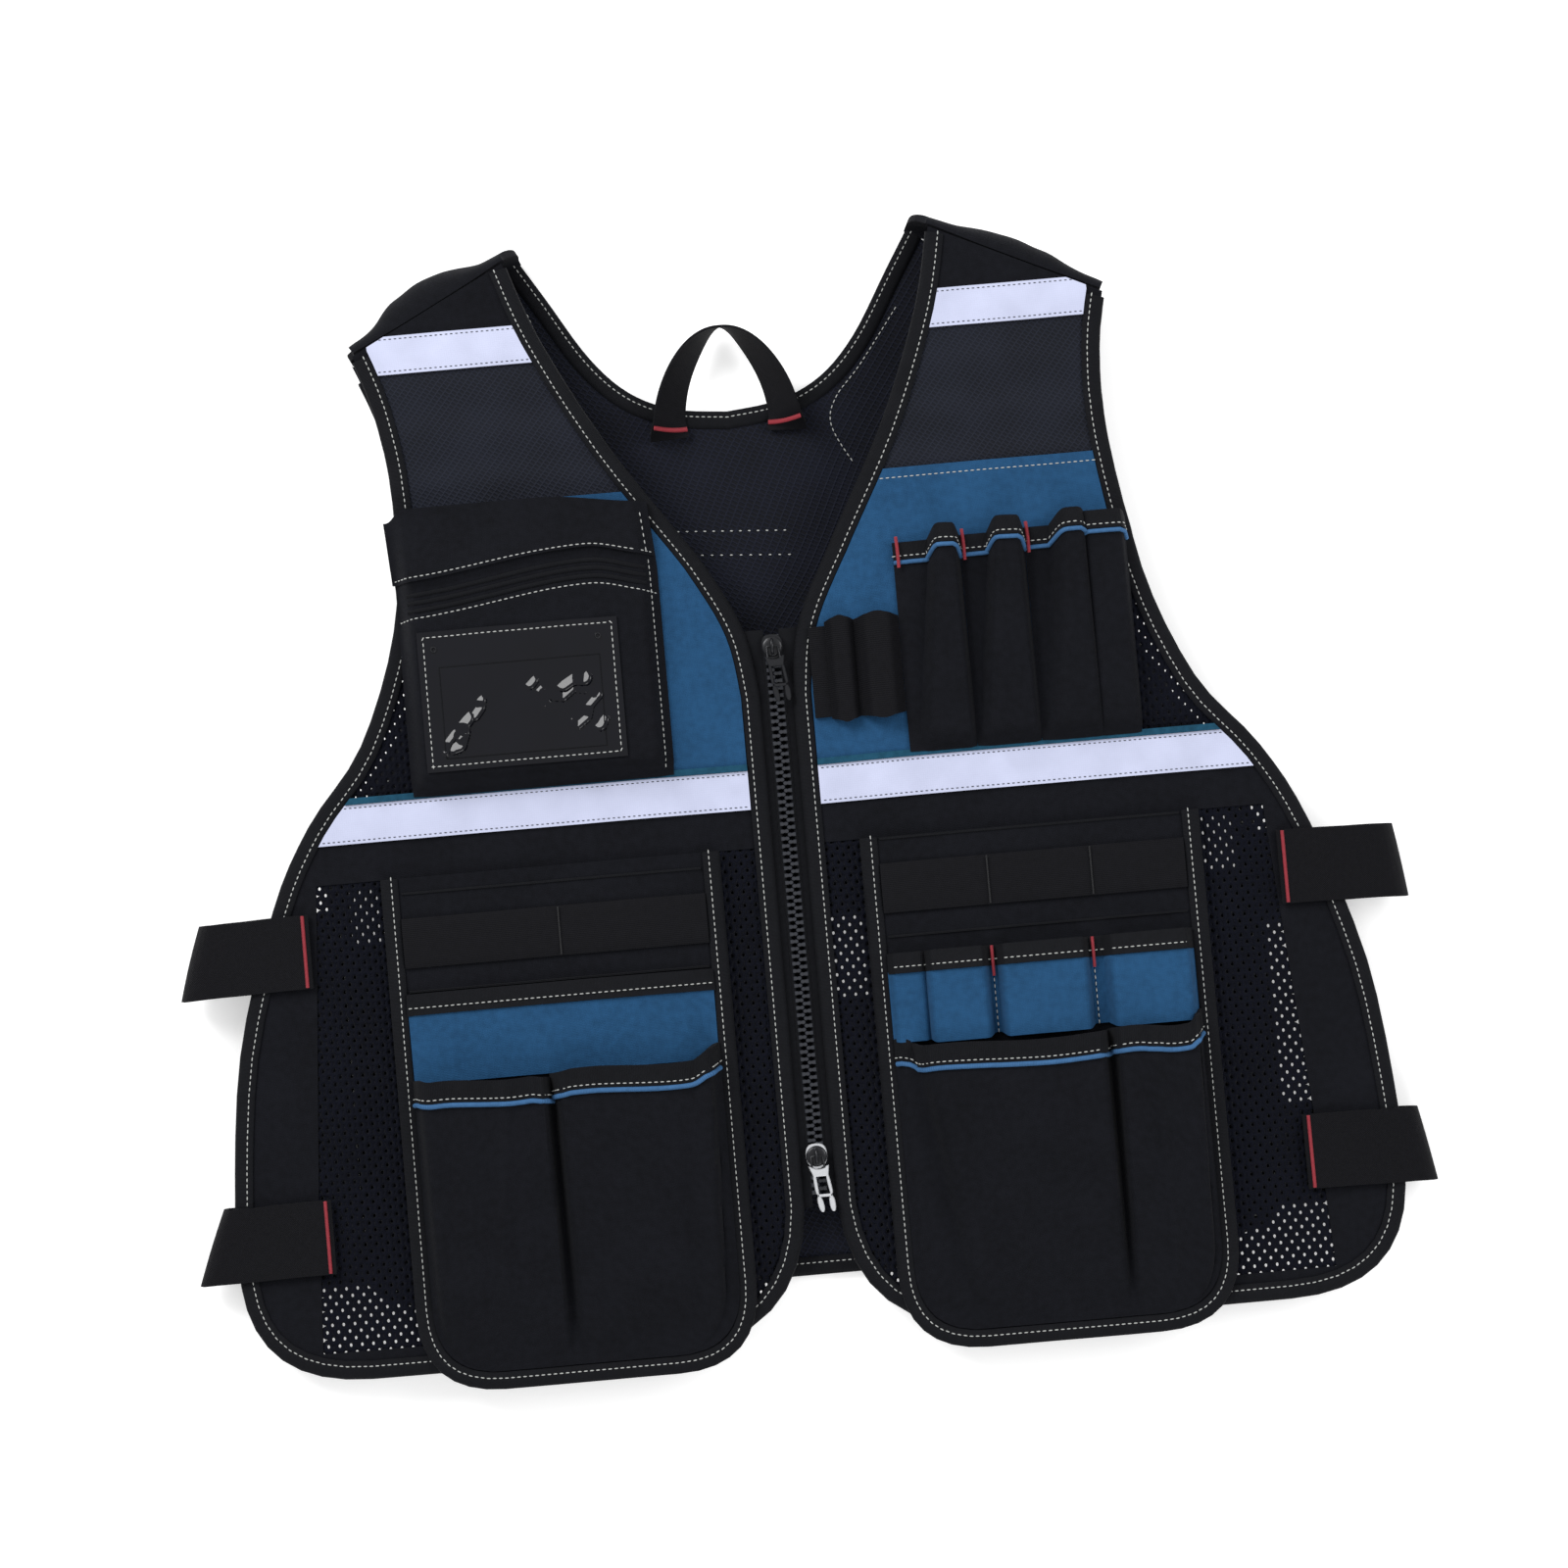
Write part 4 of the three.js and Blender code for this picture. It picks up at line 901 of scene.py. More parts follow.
class VEST_OT_back(bpy.types.Operator):
    """Back of spacer mesh with its bindings and seams"""
    bl_idname = "vest.back"
    bl_label = "Back"

    def execute(self, context):
        side, neck, outline = back_outline()
        keep = lambda x, y: below_seam(x, y) and not behind_net(x, y)
        seam = [tuple(SEAM_IN - SEAM_NORMAL * SEAM_GAP), tuple(SEAM_OUT - SEAM_NORMAL * SEAM_GAP)]
        holes = [boxed(*box) for boxes in SPECKS.values() for box in boxes]
        back = drape("back_cloth", outline, floor, BACK_CLOTH, "backing", 9, keep, [*holes, seam, flip(seam, -1)])
        finish(back, "spacer_net", "back_panel", "back_shoulder_left", "back_shoulder_right")
        for word, sign in SIDES:
            points = []
            for name, lean in (("side_net", 1.6 * sign), ("centre_net", 0)):  # holes in line with those in front
                window = flip(NET_WINDOWS[name], sign)
                keep = lambda x, y: any(in_box(box, x, y) for box in SPECKS[word])
                points += [(x + lean, y + 0.9, z) for x, y, z in net_points(window, keep, floor, 1.5)]
            finish(knit(f"back_net_{word}", points, 0.7), "spacer_net")
            # black lining beside the back, where its net is doubled
            x0, x1 = sorted((sign * 236, sign * 263))
            for k, (y0, y1) in enumerate([(47, 222)] if sign < 0 else [(47, 98), (192, 222)]):
                strip = drape(f"net_lining_{word}_{k + 1}", boxed(x0, y0, x1, y1), on(ground, -0.75), 0.9, "black", 8)
                finish(strip, "black_fabric")
        both = flip(neck, -1) + neck[::-1][1:]
        edge = side[::-1]
        cut = [p for p in both if below_seam(*p, 3)]
        bindings = [finish(sweep("back_neck_tape", evenly(cut, 6), BACK_BIND, floor, "tape"), "binding_tape",
                           "back_neck_binding")]
        run = [p for p in evenly(flip(side, -1) + edge, 8) if below_seam(*p)]
        bindings.append(finish(sweep("back_edge_tape", run, BACK_BIND, floor, "tape"), "binding_tape",
                               "back_edge_binding"))
        lines = [on_path(offset(cut, 5), floor, 4.7), on_path(offset(run, 5), floor, 4.7)]
        for word, sign in SIDES:
            arc = [(100, 543), (94, 526), (88, 512), (84, 500)] if sign < 0 else [
                (93, 530), (72, 502), (58, 486), (54, 472), (61, 452)]
            lines.append(on_path(smooth(flip(arc, sign), 5), floor, 3.3))
        sew("back_stitches", lines)
        rows = [on_path([(-39, 422), (16, 418)], floor, 3.3), on_path([(-30, 408.5), (15, 405)], floor, 3.3)]
        sew("back_dotted_rows", rows, "white", 4.6, (1.7, 0.8, 0.5))
        return {"FINISHED"}


class VEST_OT_fronts(bpy.types.Operator):
    """Both fronts with their net windows, bindings and seams"""
    bl_idname = "vest.fronts"
    bl_label = "Fronts"

    def execute(self, context):
        inner = offset(FRONT, 6, True)
        for word, side in SIDES:
            windows = [flip(w, side) for w in NET_WINDOWS.values()]
            edge = flip(inner, side)

            def open_at(x, y):
                return inside(edge, x, y) and any(inside(w, x, y) for w in windows)

            outline = flip(FRONT, side)
            past = (SEAM_OUT - SEAM_IN) * 0.02
            seam = flip([tuple(SEAM_IN - SEAM_NORMAL * SEAM_GAP - past),
                         tuple(SEAM_OUT - SEAM_NORMAL * SEAM_GAP + past)], side)
            upper = flip([(0, CHEST_TOP), (HALF_WIDTH, CHEST_TOP)], side)
            front = drape(f"front_cloth_{word}", outline, ground, CLOTH, ("black", "mesh"), 5,
                          lambda x, y: below_seam(x, y) and not open_at(x, y), [edge, *windows, seam, upper],
                          lambda x, y: int(CHEST_TOP < y < SHOULDER_BAND + 4))
            finish(front, "black_fabric", f"front_{word}")
            for name in NET_WINDOWS:
                window = flip(NET_WINDOWS[name], side)
                keep = lambda x, y: inside(edge, x, y) and inside(window, x, y)
                net = knit(f"{name}_{word}_knit", net_points(window, keep, ground, 1.0),
                           1.7 if name == "armhole_net" else 1.4)
                finish(net, "spacer_net", f"{name}_{word}")
            path = [p for p in evenly(FRONT, 5, False) if below_seam(*p)]
            tape = sweep(f"front_tape_{word}", flip(path, side)[::side], BIND, ground, "tape")
            finish(tape, "binding_tape", f"front_binding_{word}")
            sew(f"front_stitches_{word}", [on_path(flip(offset(path, 5.2), side), ground, 3.75)])
        return {"FINISHED"}


class VEST_OT_shoulders(bpy.types.Operator):
    """Padded folds that join the fronts to the back"""
    bl_idname = "vest.shoulders"
    bl_label = "Shoulders"

    def execute(self, context):
        puffs = [(0, 0), (0.14, 0.1), (0.4, 1), (0.66, 0.95), (0.84, 0.15), (1, 0)]
        for word, side in SIDES:
            def shape(u, v):
                along = u if side > 0 else 1 - u
                point = SEAM_IN.lerp(SEAM_OUT, mix(-0.1 * (1 - ease(0.3, 0.8, v)), 1, along))
                seam = point - SEAM_NORMAL * 7.7
                high = (ground(side * seam.x, seam.y) + CLOTH) / 2
                puff = max(0, spline(puffs, along))
                reach = 8 + (9 if side < 0 else 5) * puff + 0.8 * grain(along * 90, v * 20, 12, 4)
                turn = math.radians(-90 + 180 * v)
                out = seam + SEAM_NORMAL * ((reach - 4) * math.cos(turn))
                return (side * out.x, out.y, high + (high - 4) * math.sin(turn))
            pad = patch(f"shoulder_pad_{word}", 40, 16, lambda u, v: shape(u, 1 - v), 3.6, "black")
            finish(pad, "black_fabric", f"shoulder_{word}")
        return {"FINISHED"}


def band_piece(name, node, side, x0, x1):
    """Reflective band with its two rows of stitches."""
    _, y0, _, y1 = span(node)
    inner = flip(INSIDE, side)
    piece = drape(name, boxed(x0, y0, x1, y1), on(ground, LAYER_1), TRIM, "band", 5,
                  lambda x, y: inside(inner, x, y) and below_seam(x, y), [inner])
    finish(piece, "reflective_tape", node)
    rows = [[p for p in evenly([(x0, y), (x1, y)], 2.5) if inside(inner, *p)] for y in (y0 + 1.6, y1 - 1.6)]
    return [[(x, y, ground(x, y) + LAYER_1 + TRIM + 0.12) for x, y in row] for row in rows]


class VEST_OT_bands(bpy.types.Operator):
    """Reflective bands, and above them a darker, greener copy of the blue cloth: painted shade along the blue panel's
    lower edge
    """
    bl_idname = "vest.bands"
    bl_label = "Bands"

    def execute(self, context):
        for word, side in SIDES:
            x0, x1 = sorted([side * (ZIP_HALF + 8), side * HALF_WIDTH])
            upper = f"shoulder_band_{word}"
            rows = band_piece(f"chest_tape_{word}", f"chest_band_{word}", side, x0, x1)
            rows += band_piece(f"shoulder_tape_{word}", upper, side, *span(upper)[::2])
            sew(f"band_stitches_{word}", rows, "dark", 2.6, (1.6, 0.5, 0.4))
            inner = flip(INSIDE, side)
            # painted shade: a darker, greener strip of blue cloth along the blue panel's lower edge, just above the
            # band
            strip = boxed(x0, CHEST_BAND + BAND + 0.1, x1, CHEST_BAND + BAND + 3.4)
            shade_strip = drape(f"trim_line_{word}", strip, on(ground, LAYER_1 + 1.3), 1.0, "teal", 4,
                         lambda x, y: inside(inner, x, y), [inner])
            finish(shade_strip, "blue_fabric")
        return {"FINISHED"}


class VEST_OT_chest_panels(bpy.types.Operator):
    """Blue panels behind the chest pockets"""
    bl_idname = "vest.chest_panels"
    bl_label = "Chest panels"

    def execute(self, context):
        for word, side in SIDES:
            x0, y0, x1, y1 = span(f"chest_panel_{word}")
            inner = flip(INSIDE, side)
            box = boxed(x0, y0, x1, y1)
            panel = drape(f"chest_cloth_{word}", box, on(ground, LAYER_1), TRIM, "blue", 4,
                          lambda x, y: inside(inner, x, y), [inner])
            finish(panel, "blue_fabric", f"chest_panel_{word}")
            row = [p for p in evenly([(x0, y1 - 5), (x1, y1 - 5)], 2) if inside(inner, *p)]
            sew(f"chest_panel_stitches_{word}", [[(x, y, ground(x, y) + 3.65) for x, y in row]])
        return {"FINISHED"}


def on_grid(box, stand):
    """Shape over the box x0, y0, x1, y1 that stands off its ground by stand(u, v)."""
    x0, y0, x1, y1 = box

    def shape(u, v):
        x, y = mix(x0, x1, u), mix(y0, y1, v)
        return (x, y, ground(x, y) + LAYER_3 + stand(u, v))
    return shape


def hem(name, shape, low, key, across=60):
    """Tape sewn over a pocket from a height up to its mouth."""
    over = lifted(shape, TRIM + 0.15)
    return patch(name, across, 4, lambda u, v: over(u, mix(low, 1, v)), 0.9, key)


class VEST_OT_zip(bpy.types.Operator):
    """Zip with its tapes, moulded teeth, sliders and pulls"""
    bl_idname = "vest.zip"
    bl_label = "Zip"

    def execute(self, context):
        low, high = CHAIN
        for word, side in SIDES:
            box = boxed(*span(f"zip_tape_{word}"))
            tape = drape(f"zip_cloth_{word}", box, on(ground, -1.5), TRIM, "ziptape", 3)
            finish(tape, "binding_tape", f"zip_tape_{word}")
            cord = rope(f"zip_cord_{word}", [[(side * 3.9, y, ground(side * 3.9, y) - 0.3)
                                             for y in range(int(low), int(high) + 2, 3)]], 1.0, "ziptape", 6)
            finish(cord, "binding_tape")
        tooth = self.tooth()
        for word, side in SIDES:
            pitch = sizes().tooth_pitch
            first = low + 1 + (pitch / 2 if side > 0 else 0)
            heights = [first + i * pitch for i in range(int((high - low) / pitch))]
            points = [(side * 2.05, y, ground(0, y) + 0.1) for y in heights]
            values = {"Tooth": tooth, "Turn": (0, 0, 0 if side < 0 else math.pi), "Thread": material("tooth")}
            row = grown(f"zip_teeth_{word}", points, [], tooth_tree, values)
            finish(row, "black_zip", *(["zip_chain"] if side < 0 else []))
        bpy.data.objects.remove(tooth)
        for which, key, slot in (("upper", "enamel", "black_zip"), ("lower", "silver", "silver_zip")):
            self.slider(which, key, slot)
        return {"FINISHED"}

    def tooth(self):
        """One tooth that points right: a block with a round head and a waist."""
        outline = [(-1.9, -1.0), (-0.6, -1.05), (0.4, -0.75), (1.2, -1.05), (2.2, -0.8), (2.5, 0),
                   (2.2, 0.8), (1.2, 1.05), (0.4, 0.75), (-0.6, 1.05), (-1.9, 1.0)]
        return plates("tooth", [[(x, y - HEM / MM) for x, y in outline]], -1.5, 3.1, "tooth", 0.3)

    def slider(self, which, key, slot):
        """Slider with a round dark dome and a bridge, and its pull: a collar, two bars and two rounded feet."""
        x0, y0, x1, y1 = span(f"slider_{which}")
        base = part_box(f"slider_{which}")[0].z / MM
        middle, half_x, half_y = (y0 + y1) / 2, (x1 - x0) / 2, (y1 - y0) / 2
        shell = [(x * (1 - 0.2 * ease(0, -1, (y - middle) / half_y)), y)
                 for x, y in round_bar(0, middle, half_x, half_y, corner=0.7, pieces=28)]
        finish(plates(f"slider_{which}_body", [shell], base, 1.5, key, 0.4), slot, f"slider_{which}")
        points, n = [], 24
        for wide, up in ((5.4, 1.45), (5.2, 1.9), (4.3, 2.3), (2.6, 2.5), (0.8, 2.55)):
            points += [(x, y, base + up) for x, y in round_bar(0, middle, wide, wide, pieces=n)]
        faces = [tuple(range(n))[::-1], tuple(range(4 * n, 5 * n))]
        for r in range(4):
            faces += [(r * n + i, r * n + (i + 1) % n, (r + 1) * n + (i + 1) % n, (r + 1) * n + i) for i in range(n)]
        finish(made(f"slider_{which}_dome", points, faces, "enamel"), "black_zip")
        arch = [(0, middle - 3.65 * math.cos(t), base + 1.6 + 3.7 * math.sin(t) ** 0.6)
                for t in steps(0, math.pi, 12)]
        finish(rope(f"slider_{which}_bridge", [arch], 0.85, "enamel", 8), "black_zip")
        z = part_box(f"pull_{which}")[0].z / MM
        px0, py0, px1, py1 = span(f"pull_{which}")
        half, axis = (px1 - px0) / 2 + 0.9, py1 - 0.7

        def slant(line):
            """The pull hangs a little to the right, as loose as a pull is."""
            return [(x + 0.13 * (axis - y), y) for x, y in line]

        eye = [(-half + 1.6, axis - 6.5, z + 0.7), (-half + 1.6, axis, z + 0.7), (half - 1.6, axis, z + 0.7),
               (half - 0.8, axis - 6.5, z + 0.7)]
        finish(rope(f"pull_{which}_eye", [eye], 0.6, "enamel", 8), "black_zip", body=f"{which}_pull")
        collar = [(-half - 0.8, axis - 4.8), (-half + 0.6, axis - 10.4), (half - 0.6, axis - 10.4),
                  (half + 0.8, axis - 4.8), *[(half * 0.86 * math.cos(t), axis - 4.8 - 1.9 * math.sin(t))
                                              for t in steps(0, math.pi, 10)[1:-1]]]
        bars = [round_bar(s * (half - 1.0), axis - 14.6, 0.9, 4.8, -0.03 * s, 0.5) for s in (-1, 1)]
        feet = [round_bar(s * (half - 1.5), axis - 24.6, 1.5, 4.0, 0.05 * s, 0.8) for s in (-1, 1)]
        cross = boxed(-half + 0.8, axis - 20.9, half - 0.8, axis - 19.5)
        necks = [boxed(s * (half - 1.2) - 0.45, axis - 21.4, s * (half - 1.2) + 0.45, axis - 18.8) for s in (-1, 1)]
        pull = plates(f"pull_{which}_frame", [slant(p) for p in (collar, *bars, *feet)], z, 1.4, key, 0.35)
        finish(pull, slot, f"pull_{which}", body=f"{which}_pull")
        inner = plates(f"pull_{which}_bridge", [slant(p) for p in (cross, *necks)], z + 0.3, 0.8, key, 0.2)
        finish(inner, slot, body=f"{which}_pull")


def tool_shape(x0, x1, low, top, left, right, plateau):
    """Pleated pocket: flat on its left, then a fold that is narrow at the mouth and wide at the foot."""
    def bump(u, v):
        rise, fall = mix(*left, v), mix(*right, v)
        main = ease(rise, rise + 0.2, u) * (1 - ease(fall - 0.11, fall, u))
        side = plateau * ease(fall - 0.1, fall, u) * (1 - ease(0.95, 1, u)) if plateau < 1 else 0
        return max(main * (0.9 + 0.1 * math.sin(math.pi * u)), side)

    def shape(u, v):
        x = mix(x0, x1, u)
        bulge = bump(u, v)
        y = mix(low, top + 7 * bulge, v)
        tall = mix(5.0, 11.5, v ** 0.7) * ease(0, 0.07, v)
        slack = 0.5 * grain(x, y, 14, 6) * ease(0, 0.1, v)
        lift = 0.8 * ease(0, 0.05, v) * hump(0, 0.1, 0.9, 1, u)
        return (x, y, ground(x, min(y, top)) + LAYER_2 + lift + tall * bulge + max(0, slack))
    return shape


class VEST_OT_tool_pockets(bpy.types.Operator):
    """Three pleated tool pockets with bound mouths, and the pen loops beside them"""
    bl_idname = "vest.tool_pockets"
    bl_label = "Tool pockets"

    def execute(self, context):
        low = CHEST_BAND + BAND + 2.2
        rows = [(66.3, 100.7, 402, (0.14, 0.55), (1.0, 0.97), 1.0),
                (101.1, 133.9, 403, (0.02, 0.46), (1.0, 0.97), 1.0),
                (134.3, 185.5, 404, (0.02, 0.26), (0.66, 0.64), 0.7)]
        seams, cords, tacks = [], [], []
        for i, (x0, x1, top, *fold) in enumerate(rows, 1):
            shape = tool_shape(x0, x1, low, top, *fold)
            finish(patch(f"tool_pocket_{i}_cloth", 56, 50, shape, TRIM, "black"), "black_fabric", f"tool_pocket_{i}")
            edge = 1 - 9 / (top - low)
            finish(hem(f"tool_pocket_{i}_hem", shape, edge, "tape"), "binding_tape")
            seams.append(on_shape(shape, [(0.02, edge + 0.018), (0.98, edge + 0.018)], 2.4))
            cords.append(on_shape(shape, [(0.01, edge - 0.012), (0.99, edge - 0.012)], 1.9))
        sew("tool_pocket_stitches", seams)
        finish(rope("tool_pocket_piping", cords, 1.15, "piping"), "blue_fabric")
        for x, y in ((68.5, 404), (102.6, 405), (135.8, 406)):
            z = ground(x, y) + LAYER_2 + 3.6
            tacks.append([(x, y - 15, z), (x, y - 8, z + 1.0), (x, y + 0.5, z + 0.6)])
        tack("tool_pocket_tacks", tacks, 2.2)
        for name, x0, x1, tall in (("pen_loop_1", 28.2, 42.6, 0.6), ("pen_loop_2", 43.4, 65.6, 1.0)):
            def shape(u, v):
                x = mix(x0, x1, u)
                y = mix(315, 365, v) + 2.2 * math.sin(math.pi * u) * (v - 0.5) * 2 + 0.8 * math.sin(9 * u) * (0.5 - v)
                rise = hump(0, 0.3, 0.72, 1, u) * 7.5 * tall
                return (x, y, ground(x, y) + LAYER_2 + rise)
            finish(patch(f"{name}_elastic", 30, 30, shape, TRIM, "elastic"), "black_webbing", name)

        def flat(u, v):
            x, y = mix(19.5, 28.0, u), mix(316, 363, v)
            return (x, y, ground(x, y) + LAYER_2 + 0.6 * math.sin(math.pi * u))
        finish(patch("pen_loop_end", 10, 20, flat, TRIM, "elastic"), "black_webbing")
        return {"FINISHED"}


# creases of the window's film: points (1.45 u, v) and half their width
FOLDS = [([(0.14, 0.14), (0.16, 0.2), (0.215, 0.26), (0.25, 0.23)], 0.012),
         ([(0.2, 0.17), (0.24, 0.18), (0.27, 0.26), (0.28, 0.33), (0.31, 0.36)], 0.026),
         ([(0.37, 0.38), (0.41, 0.43), (0.42, 0.48)], 0.018),
         ([(0.86, 0.52), (0.9, 0.41), (0.98, 0.36), (1.05, 0.27), (1.11, 0.25), (1.18, 0.3), (1.2, 0.38),
           (1.27, 0.45)], 0.013),
         ([(0.86, 0.52), (0.95, 0.47), (1.02, 0.46), (1.1, 0.52), (1.2, 0.5), (1.27, 0.45)], 0.014),
         ([(1.03, 0.55), (1.1, 0.59), (1.18, 0.58)], 0.026), ([(0.79, 0.57), (0.81, 0.59)], 0.016),
         ([(1.27, 0.24), (1.29, 0.27)], 0.02)]


def near(line, x, y):
    """Distance and way of a point from the nearest place on a line of points."""
    best = (9.0, 0.0, 0.0)
    for (ax, ay), (bx, by) in zip(line, line[1:]):
        run = (bx - ax) ** 2 + (by - ay) ** 2
        t = clamp(((x - ax) * (bx - ax) + (y - ay) * (by - ay)) / run)
        dx, dy = x - mix(ax, bx, t), y - mix(ay, by, t)
        best = min(best, (math.hypot(dx, dy), dx, dy))
    return best


class VEST_OT_badge_pocket(bpy.types.Operator):
    """Box pocket with its zipped flap and clear window"""
    bl_idname = "vest.badge_pocket"
    bl_label = "Badge pocket"

    def execute(self, context):
        x0, y0, x1, y1 = span("badge_pocket")

        def box(u, v):
            x, y = mix(x0, x1, u), mix(y0 + 0.5, y1, v)
            sides = hump(0.0, 0.07, 0.93, 1.0, u) * ease(0, 0.07, v) * (1 - 0.55 * ease(0.75, 1, v))
            groove = 1.6 * hump(0.645, 0.675, 0.765, 0.79, v - self.arc(u))
            puff = 1.2 * math.sin(math.pi * u) * math.sin(math.pi * clamp(v / 0.65))
            fold = 0.7 * grain(x, y, 30, 8)
            return (x, y, ground(x, y) + LAYER_2 + (10 + puff + fold) * sides - groove * sides)
        pocket = patch("badge_pocket_cloth", 90, 100, box, WEB, "black")
        finish(pocket, "black_fabric", "badge_pocket")

        def flap(u, v):
            u, v = mix(-0.012, 1.0, u), mix(0.79 + self.arc(u), 1.0, v)
            x, y, z = box(clamp(u), v)
            rise = (CHEST_TOP - 0.5 - y1) * ease(0, 0.08, u) * (1 - ease(0.6, 1, u)) * ease(0.85, 1, v)
            return (x + min(0, u) * (x1 - x0), y + rise, z + 2.1)
        finish(patch("badge_flap_cloth", 80, 24, flap, TRIM, "black"), "black_fabric", "badge_flap")
        zip_ribs = [on_shape(box, [(u / 40, v + self.arc(u / 40)) for u in range(2, 39)], 1.2)
                    for v in (0.684, 0.713, 0.742)]
        finish(rope("badge_zip_ribs", zip_ribs, 1.25, "ziptape"), "binding_tape")
        left, right = [(x - x0) / (x1 - x0) for x in WINDOW[::2]]
        low, high = [(y - y0) / (y1 - y0) for y in WINDOW[1::2]]
        over_pocket = lifted(box, 1.9)

        def film(u, v):
            x, y, z = over_pocket(mix(left, right, u), mix(low, high, v))
            raised = 0.0
            for line, wide in FOLDS:
                d, dx, dy = near(line, 1.45 * u, v)
                # a crease that leans towards the key light
                lean = (0.62 - 72 * 0.4 * (dy * 0.76 - dx * 0.65)) * (1 - ease(1.7 * wide, 1.7 * wide + 0.012, d))
                raised = max(raised, lean)
            inner = hump(0.03, 0.1, 0.9, 0.97, u) * hump(0.03, 0.12, 0.86, 0.95, v)
            return (x, y, z + inner * (0.5 + 0.15 * math.sin(3 * u + 2 * v)) + raised)
        sheet = patch("badge_window_film", 230, 160, film, 0.7, "vinyl", sharp=85)
        finish(sheet, "clear_vinyl", "badge_window")
        rim = [(0.03, 0.04), (0.97, 0.04), (0.97, 0.96), (0.03, 0.96), (0.03, 0.04)]
        inner = [(0.1, 0.09), (0.9, 0.09), (0.9, 0.74), (0.1, 0.74), (0.1, 0.09)]
        finish(rope("badge_window_pocket_edge", [on_shape(film, inner, 0.75)], 0.35, "tape", 6), "binding_tape")
        row = [(u, 0.652 + self.arc(u)) for u in steps(0.02, 0.98, 40)]
        lines = [on_shape(film, rim, 0.95), on_shape(box, row, 1.7),
                 on_shape(box, [(0.965, v) for v in steps(0.04, 0.78, 20)], 1.7),
                 on_shape(flap, [(0.02, 0.06), (0.98, 0.06)], 1.4),
                 on_shape(flap, [(0.965, 0.1), (0.965, 0.75)], 1.4)]
        sew("badge_stitches", lines)
        for k, u in enumerate((0.08, 0.9), 1):
            x, y, z = film(u, 0.87)
            ring = [(x + 1.3 * math.cos(t), y + 1.3 * math.sin(t), z + 1.0) for t in steps(0, 2 * math.pi, 12)]
            finish(rope(f"badge_eyelet_{k}", [ring], 0.5, "enamel", 6), "black_zip")
        return {"FINISHED"}

    def arc(self, u):
        """The zip's seam climbs to the right and falls at its end."""
        return 0.075 * ease(0, 0.75, u) - 0.045 * ease(0.75, 1, u) - 0.02


def corner(y):
    """How far the round corners of a pocket panel come in at a height."""
    low, radius = PANEL[1] + 8.3, 34.0
    return radius * (1 - math.sqrt(clamp((y - low) / radius))) ** 2


def lower_pocket(side, share0, share1, mouth, rise0, rise1, pleat0, pleat1, creases):
    """Deep pocket: x runs by shares of the panel, its mouth rises at either side.

    A pleat is the share that lies flat beside a seam, at the foot and at the mouth. A crease runs from a share
    at the foot to one at the mouth, with its height.
    """
    a, b = sorted((side * mix(PANEL_IN, PANEL_OUT, share0), side * mix(PANEL_IN, PANEL_OUT, share1)))
    low = PANEL[1] + 8.6

    def shape(u, v):
        top = mouth + rise0 * (1 - ease(0.03, 0.13, u)) + rise1 * ease(0.84, 1, u)
        top += 1.0 * math.sin(2.2 * math.pi * u)
        y = mix(low, top, v)
        x0 = a + (corner(y) if a > 0 and share0 == 0 or a < 0 and share1 == 1 else 0)
        x1 = b - (corner(y) if b > 0 and share1 == 1 or b < 0 and share0 == 0 else 0)
        x = mix(x0, x1, u)
        left, right = mix(*pleat0, v), mix(*pleat1, v)
        body = 0.25 * hump(0.0, 0.05, 0.95, 1, u)
        body += 0.75 * ease(left, left + 0.07, u) * (1 - ease(0.97 - right, 1 - right, u))
        tall = 13.0 * ease(0, 0.3, v) ** 0.7 * (0.55 + 0.45 * ease(0.1, 0.9, v))
        slack = 1.1 * grain(x * 2.2, y * 0.45, 30, 11) + 0.5 * grain(x, y, 16, 12)
        slack += 1.6 * math.sin(math.pi * u) * math.sin(math.pi * v)
        for foot, head, high in creases:
            slack += high * math.exp(-((u - mix(foot, head, v)) / 0.06) ** 2)
        return (x, y, ground(x, min(y, mouth)) + LAYER_3 + body * max(0, tall + slack * ease(0, 0.2, v)))
    return shape


class VEST_OT_pocket_panels(bpy.types.Operator):
    """Pocket panels of the waist with their bindings, seams and flat webbing"""
    bl_idname = "vest.pocket_panels"
    bl_label = "Pocket panels"

    def execute(self, context):
        for word, side in SIDES:
            outline = flip(PANEL_PATH, side)
            panel = drape(f"panel_cloth_{word}", outline, on(ground, LAYER_2), TRIM, "black", 5)
            finish(panel, "black_fabric", f"pocket_panel_{word}")
            path = evenly(PANEL_PATH, 5)
            tape = sweep(f"panel_tape_{word}", flip(path, side)[::side], PANEL_BIND, ground, "tape")
            finish(tape, "binding_tape", f"panel_binding_{word}")
            sew(f"panel_stitches_{word}", [on_path(flip(offset(path, 4.8), side), ground, 6.75)])
            x0, y0, x1, y1 = span(f"pals_webbing_{word}")
            flat = on_grid((x0, y0, x1, y1), lambda u, v: 0.9 * math.sin(math.pi * v) ** 0.4)
            finish(patch(f"pals_{word}", 50, 10, flat, TRIM, "webbing"), "black_webbing", f"pals_webbing_{word}")
            folds = [on_path([(x0 + 1, y), (x1 - 1, y)], ground, 5.2) for y in (y1 + 13, y0 - 12.5)]
            finish(rope(f"panel_seams_{word}", folds, 0.7, "tape", 6), "binding_tape")
            marks = [100, 153] if side > 0 else [-121]
            tack(f"pals_tacks_{word}", [[(x, y0 + 0.5, ground(x, y0) + 7.9), (x, y1 - 0.5, ground(x, y1) + 7.9)]
                                        for x in marks], 1.1, "dark")
        return {"FINISHED"}


